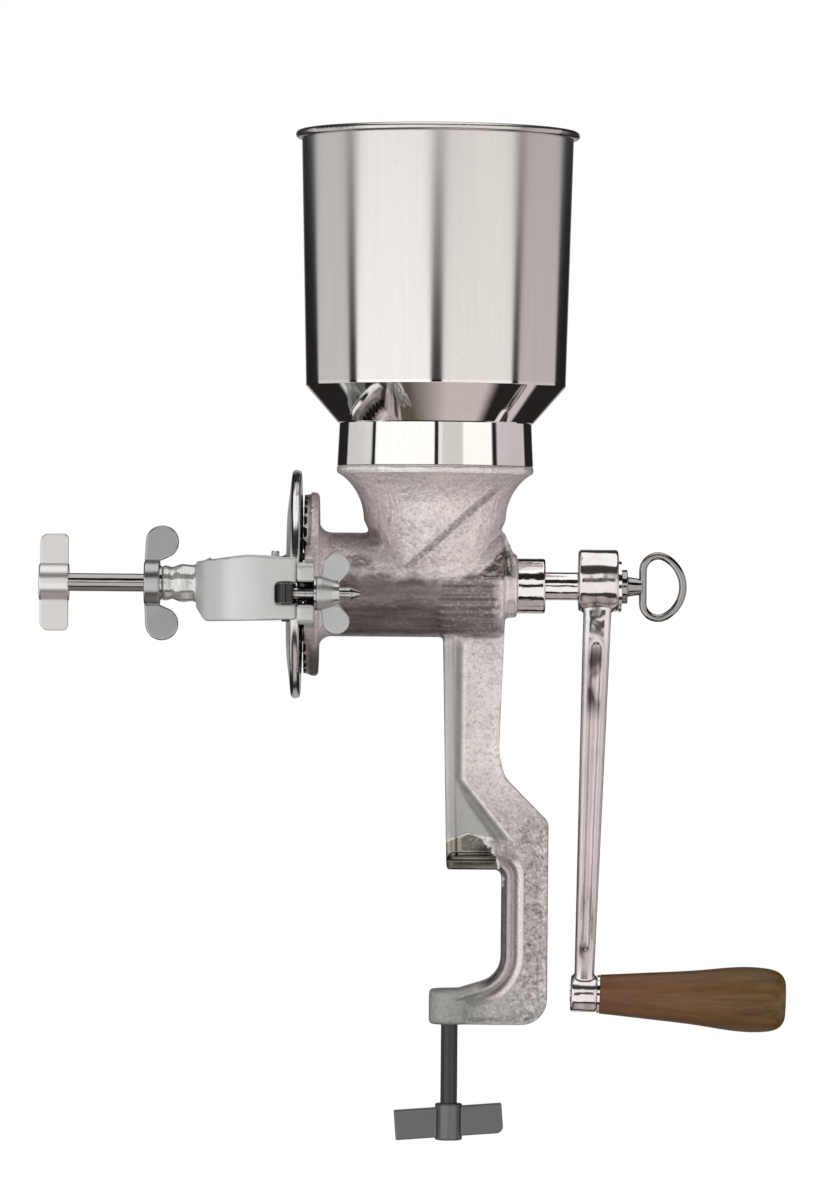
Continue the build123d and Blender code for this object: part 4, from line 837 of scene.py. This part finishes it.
class MILL_OT_yoke(MillOperator, bpy.types.Operator):
    """Bell-shaped yoke that carries the adjusting screw"""

    bl_idname = "mill.yoke"
    bl_label = "Yoke"

    def execute(self, context):
        casting = context.scene.mill_casting
        piece = cast_copy("yoke", "yoke_casting", 0.8 * casting.voxel, 5, 120000)
        # the inside of the yoke's slot is darkened with painted shade
        dress(piece, plated_finish(
            "yoke skin", casting.yoke, 0.4, smudge=0.05, metallic=0.6, lumps=0.12, span=NOSE_X,
            shine=(0.86, 0.87, 0.86), slot_from=BOLT_LOW.x - 2 * MM
        ))
        stand_in(piece, "yoke", "frame")
        return {"FINISHED"}


class MILL_OT_crank(MillOperator, bpy.types.Operator):
    """Crank arm with its grooved faces"""

    bl_idname = "mill.crank"
    bl_label = "Crank"

    def execute(self, context):
        casting = context.scene.mill_casting
        piece = cast_copy("crank_arm", "crank_casting", 0.7 * casting.voxel, 4, 120000)
        dress(piece, crank_finish("crank skin", casting.crank, casting.crank_arm))
        stand_in(piece, "crank_arm", "rotor")
        return {"FINISHED"}


class MILL_OT_plates(MillOperator, bpy.types.Operator):
    """Grinding plates and their carrier"""

    bl_idname = "mill.plates"
    bl_label = "Plates"

    def execute(self, context):
        iron = cast_finish("ground iron", (0.50, 0.48, 0.46), (0.30, 0.28, 0.27), 0.38, grit=1200.0, depth=0.1)
        disc = plated_finish("carrier skin", (0.86, 0.86, 0.85), 0.16, lumps=0.1)
        for name in ("fixed_plate", "rotating_plate"):
            dress_node(name, iron)
        dress_node("plate_carrier", disc)
        return {"FINISHED"}


class MILL_OT_hopper(MillOperator, bpy.types.Operator):
    """Bright sheet hopper: wall, rolled rim, cone and collar"""

    bl_idname = "mill.hopper"
    bl_label = "Hopper"

    def execute(self, context):
        sheet = context.scene.mill_steel.sheet
        wall = sheet_finish("hopper sheet", sheet, 0.10, 0.26, 0.5, 0.93)
        mirror = sheet_finish("collar sheet", [min(1, c * 1.14) for c in sheet], 0.045, 0.05, 0.25, 1.0)
        dress_node("hopper_wall", wall)
        dress_node("hopper_rim_wire", wall)
        dress_node("hopper_cone", mirror)
        dress_node("hopper_collar", mirror)
        return {"FINISHED"}


class MILL_OT_steel(MillOperator, bpy.types.Operator):
    """Plated and bare steel pieces"""

    bl_idname = "mill.steel"
    bl_label = "Steel pieces"

    def execute(self, context):
        steel = context.scene.mill_steel
        low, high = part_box("wing_nut_front")
        bolt_y, bolt_z = (low.y + high.y) / 2, (low.z + high.z) / 2
        hub_on_shaft = (0, SHAFT_Z, 0.0085)
        zinc = times(steel.zinc, 1.04)
        bright = plated_finish("bright steel", steel.bright, 0.07, smudge=0.03, lumps=0.16, lump_scale=190.0)
        ring = plated_finish("ring steel", times(steel.bright, 0.45), 0.06, smudge=0.03, lumps=0.03)
        pale = plated_finish("pale nickel", times(steel.bright, 0.95), 0.3, metallic=0.85, hub=hub_on_shaft)
        satin = plated_finish("zinc", zinc, 0.34, metallic=0.8, hub=(bolt_y, bolt_z, 0.0066))
        rear = plated_finish("zinc, rear nut", zinc, 0.34, metallic=0.8, hub=(-bolt_y, bolt_z, 0.0066))
        lock = plated_finish("lock nut zinc", times(steel.zinc, 0.88), 0.26, metallic=0.95, hub=hub_on_shaft)
        rod = plated_finish("screw steel", times(steel.bright, 0.48), 0.05, smudge=0.02)
        fastener = plated_finish("fastener steel", times(steel.zinc, 0.9), 0.16)
        # painted shade and highlight: the swing bolts are dark for the shade round their eyes in the slots, their
        # shanks lighter for the bright line along them
        bolt = plated_finish(
            "bolt steel", times(steel.zinc, 0.1), 0.1, span=(-0.0905, 0.0), shine=(0.6, 0.6, 0.59)
        )
        dark = plated_finish("dark steel", steel.dark, 0.3)
        dull = plated_finish("dull steel", times(steel.dark, 2.5), 0.33, lumps=0.1)
        finishes = {
            bright: (
                "rear_bearing_bush", "thrust_ball", "crank_washer", "handle_axle", "handle_washer", "feed_screw",
            ),
            ring: ("crank_ring_screw",),
            pale: ("adjusting_handle",),
            satin: ("wing_nut_front",),
            rear: ("wing_nut_back",),
            lock: ("lock_wing_nut",),
            rod: ("adjusting_screw",),
            dull: ("clamp_handle",),
            bolt: ("swing_bolt_front", "swing_bolt_back", "swing_pin_front", "swing_pin_back"),
            fastener: (
                "fixed_plate_screws", "rotating_plate_screws", "carrier_pin", "lock_washer",
                "yoke_washer_front", "yoke_washer_back",
            ),
            dark: ("clamp_screw", "clamp_tip"),
        }
        for material, names in finishes.items():
            for name in names:
                dress_node(name, material)
        return {"FINISHED"}


class MILL_OT_grip(MillOperator, bpy.types.Operator):
    """Turned wooden grip"""

    bl_idname = "mill.grip"
    bl_label = "Grip"

    def execute(self, context):
        grip = context.scene.mill_grip
        dress_node("handle_grip", wood_finish("grip wood", grip.light, grip.dark))
        return {"FINISHED"}


# ---- stage ----
PANELS = (
    # azimuth from and to, counted from the camera towards the right, elevation from and to, and softness,
    # all in degrees, and the colour there
    (-128.0, -83.0, -46.0, 23.0, 1.8, (0.61, 0.60, 0.59)),
    (-74.5, -4.4, -46.0, 23.0, 1.3, (1.05, 1.04, 1.02)),
    (5.4, 71.0, -46.0, 23.0, 1.6, (0.91, 0.87, 0.84)),
    (78.0, 131.0, -46.0, 23.0, 1.8, (0.57, 0.51, 0.52)),
    (-6.0, 7.0, 9.0, 25.0, 1.0, (1.0, 0.97, 0.95)),
    (-6.0, 7.0, -46.0, -4.5, 1.0, (1.0, 0.95, 0.94)),
    # what the collar mirrors
    (-128.0, -81.0, 5.3, 10.0, 0.9, (0.80, 0.78, 0.77)),
    (-76.0, -1.2, 5.3, 10.0, 0.6, (1.07, 1.06, 1.04)),
    (3.4, 9.0, 5.3, 10.0, 0.6, (0.85, 0.81, 0.78)),
    (8.0, 32.0, 5.3, 9.0, 0.9, (0.66, 0.63, 0.60)),
    (34.0, 70.0, 5.3, 10.0, 0.9, (1.1, 1.04, 0.97)),
    (79.0, 128.0, 5.3, 10.0, 0.9, (0.62, 0.55, 0.57)),
)
REAR_PANEL = (168.0, (0.42, 0.41, 0.41))  # from this azimuth round the back
DARK = (0.018, 0.016, 0.015)  # the unlit room
CEILING_FROM, FLOOR_FROM = 57.0, -62.0  # degrees of elevation
FLOOR_LEFT, FLOOR_RIGHT = (0.10, 0.085, 0.065), (0.55, 0.48, 0.47)
CEILING = (1.1, 1.08, 1.07)
SIDE_LIGHTS = (((-1.45, -0.8, 0.32), 15.0), ((1.5, -0.5, -0.35), 26.0))  # metres and watts


def studio_world(scene, strength):
    """White to the camera; in reflections a dark room with upright light panels and a light ceiling."""
    world = bpy.data.worlds.new("studio")
    scene.world = world
    world.use_nodes = True
    tree = world.node_tree
    tree.nodes.clear()
    ray = add(tree, "ShaderNodeTexCoord").outputs["Generated"]
    axes = add(tree, "ShaderNodeSeparateXYZ")
    join(tree, ray, axes.inputs[0])
    towards = calc(tree, "MULTIPLY", axes.outputs["Y"], -1.0)
    azimuth = calc(tree, "DEGREES", calc(tree, "ARCTAN2", axes.outputs["X"], towards))
    elevation = calc(tree, "DEGREES", calc(tree, "ARCSINE", axes.outputs["Z"]))
    room = blend_colour(tree, 0.0, DARK, DARK)
    for left, right, low, high, soft, colour in PANELS:
        across = band(tree, azimuth, left, right, soft)
        share = calc(tree, "MULTIPLY", across, band(tree, elevation, low, high, soft))
        room = blend_colour(tree, share, room, colour)
    rear = band(tree, calc(tree, "ABSOLUTE", azimuth), REAR_PANEL[0], 200.0, 4.0)
    share = calc(tree, "MULTIPLY", rear, band(tree, elevation, PANELS[0][2], PANELS[0][3], 3.0))
    room = blend_colour(tree, share, room, REAR_PANEL[1])
    room = blend_colour(tree, band(tree, elevation, CEILING_FROM, 100.0, 4.0), room, CEILING)
    ground = blend_colour(tree, slope(tree, axes.outputs["X"], -0.25, 0.12), FLOOR_LEFT, FLOOR_RIGHT)
    room = blend_colour(tree, band(tree, elevation, -100.0, FLOOR_FROM, 4.0), room, ground)
    studio = add(tree, "ShaderNodeBackground", {"Strength": strength})
    join(tree, room, studio.inputs["Color"])
    white = add(tree, "ShaderNodeBackground", {"Color": (1, 1, 1, 1), "Strength": 1.0})
    seen = add(tree, "ShaderNodeLightPath").outputs["Is Camera Ray"]
    pick = add(tree, "ShaderNodeMixShader")
    join(tree, seen, pick.inputs[0])
    join(tree, studio.outputs[0], pick.inputs[1])
    join(tree, white.outputs[0], pick.inputs[2])
    output = add(tree, "ShaderNodeOutputWorld")
    join(tree, pick.outputs[0], output.inputs["Surface"])


def side_lights(strength):
    """Two soft lights, one at each side, that only brighten what is not a mirror."""
    for place_at, power in SIDE_LIGHTS:
        bpy.ops.object.light_add(type="AREA", location=place_at)
        light = bpy.context.active_object
        light.name = "side light"
        aim = Vector((0, 0, 0.15)) - Vector(place_at)
        light.rotation_euler = aim.to_track_quat("-Z", "Y").to_euler()
        light.data.shape = "SQUARE"
        light.data.size = 1.0
        light.data.energy = power * strength
        light.data.color = (1.0, 0.97, 0.965)
        light.visible_glossy = False
        light.visible_camera = False


def pale_floor(settings):
    """A pale disc under the mill that runs out to the white of the background."""
    low = CAD_BOX[0][2] - settings.floor_drop
    bpy.ops.object.select_all(action="DESELECT")
    bpy.ops.mesh.primitive_circle_add(vertices=96, radius=6.0, fill_type="NGON", location=(0, 0, low))
    floor = bpy.context.active_object
    floor.name = "floor"
    material = bpy.data.materials.new("pale floor")
    material.use_nodes = True
    tree = material.node_tree
    tree.nodes.clear()
    pale = add(tree, "ShaderNodeBsdfDiffuse", {"Color": (*settings.floor_colour, 1)})
    white = add(tree, "ShaderNodeEmission", {"Color": (1, 1, 1, 1), "Strength": 1.0})
    reach = add(tree, "ShaderNodeVectorMath", operation="LENGTH")
    join(tree, place(tree), reach.inputs[0])
    fade = add(tree, "ShaderNodeMapRange", {1: 0.35, 2: 1.3, 3: 0.55}, interpolation_type="SMOOTHSTEP")
    join(tree, reach.outputs["Value"], fade.inputs[0])
    pick = add(tree, "ShaderNodeMixShader")
    join(tree, fade.outputs[0], pick.inputs[0])
    join(tree, pale.outputs[0], pick.inputs[1])
    join(tree, white.outputs[0], pick.inputs[2])
    output = add(tree, "ShaderNodeOutputMaterial")
    join(tree, pick.outputs[0], output.inputs["Surface"])
    floor.data.materials.append(material)
    floor.visible_glossy = False
    floor.visible_diffuse = False


class MILL_OT_stage(MillOperator, bpy.types.Operator):
    """Camera, studio light and pale floor"""

    bl_idname = "mill.stage"
    bl_label = "Stage"

    def execute(self, context):
        settings = context.scene.mill_stage
        studio_world(context.scene, settings.light)
        side_lights(settings.light)
        pale_floor(settings)
        across, up = settings.middle
        place_at = (across, -settings.distance, up)
        bpy.ops.object.camera_add(location=place_at, rotation=(pi / 2, -settings.roll, 0))
        camera = context.active_object
        camera.name = "camera"
        camera.data.sensor_width = 36.0
        camera.data.lens = 36.0 * settings.distance / settings.picture[1]
        camera.data.clip_end = 100.0
        context.scene.camera = camera
        context.scene.view_settings.view_transform = "Standard"
        return {"FINISHED"}


class MILL_PT_pieces(bpy.types.Panel):
    """Buttons for the mill's pieces and its stage"""

    bl_label = "Grain mill"
    bl_idname = "MILL_PT_pieces"
    bl_space_type = "VIEW_3D"
    bl_region_type = "UI"
    bl_category = "Mill"

    def draw(self, context):
        for operator in OPERATORS:
            self.layout.operator(operator.bl_idname)
        for name in SETTINGS:
            settings = getattr(context.scene, name)
            for key in settings.bl_rna.properties.keys()[2:]:
                self.layout.prop(settings, key)


OPERATORS = (
    MILL_OT_body,
    MILL_OT_yoke,
    MILL_OT_crank,
    MILL_OT_plates,
    MILL_OT_hopper,
    MILL_OT_steel,
    MILL_OT_grip,
    MILL_OT_stage,
)
SETTINGS = {
    "mill_stage": MillStageSettings,
    "mill_casting": MillCastingSettings,
    "mill_steel": MillSteelSettings,
    "mill_grip": MillGripSettings,
}


def register():
    for kind in (*SETTINGS.values(), *OPERATORS, MILL_PT_pieces):
        bpy.utils.register_class(kind)
    for name, kind in SETTINGS.items():
        setattr(bpy.types.Scene, name, bpy.props.PointerProperty(type=kind))


def unregister():
    for name in SETTINGS:
        delattr(bpy.types.Scene, name)
    for kind in reversed((*SETTINGS.values(), *OPERATORS, MILL_PT_pieces)):
        bpy.utils.unregister_class(kind)


def main():
    register()
    for operator in OPERATORS:
        group, name = operator.bl_idname.split(".")
        getattr(getattr(bpy.ops, group), name)()


if __name__ == "__main__":
    main()
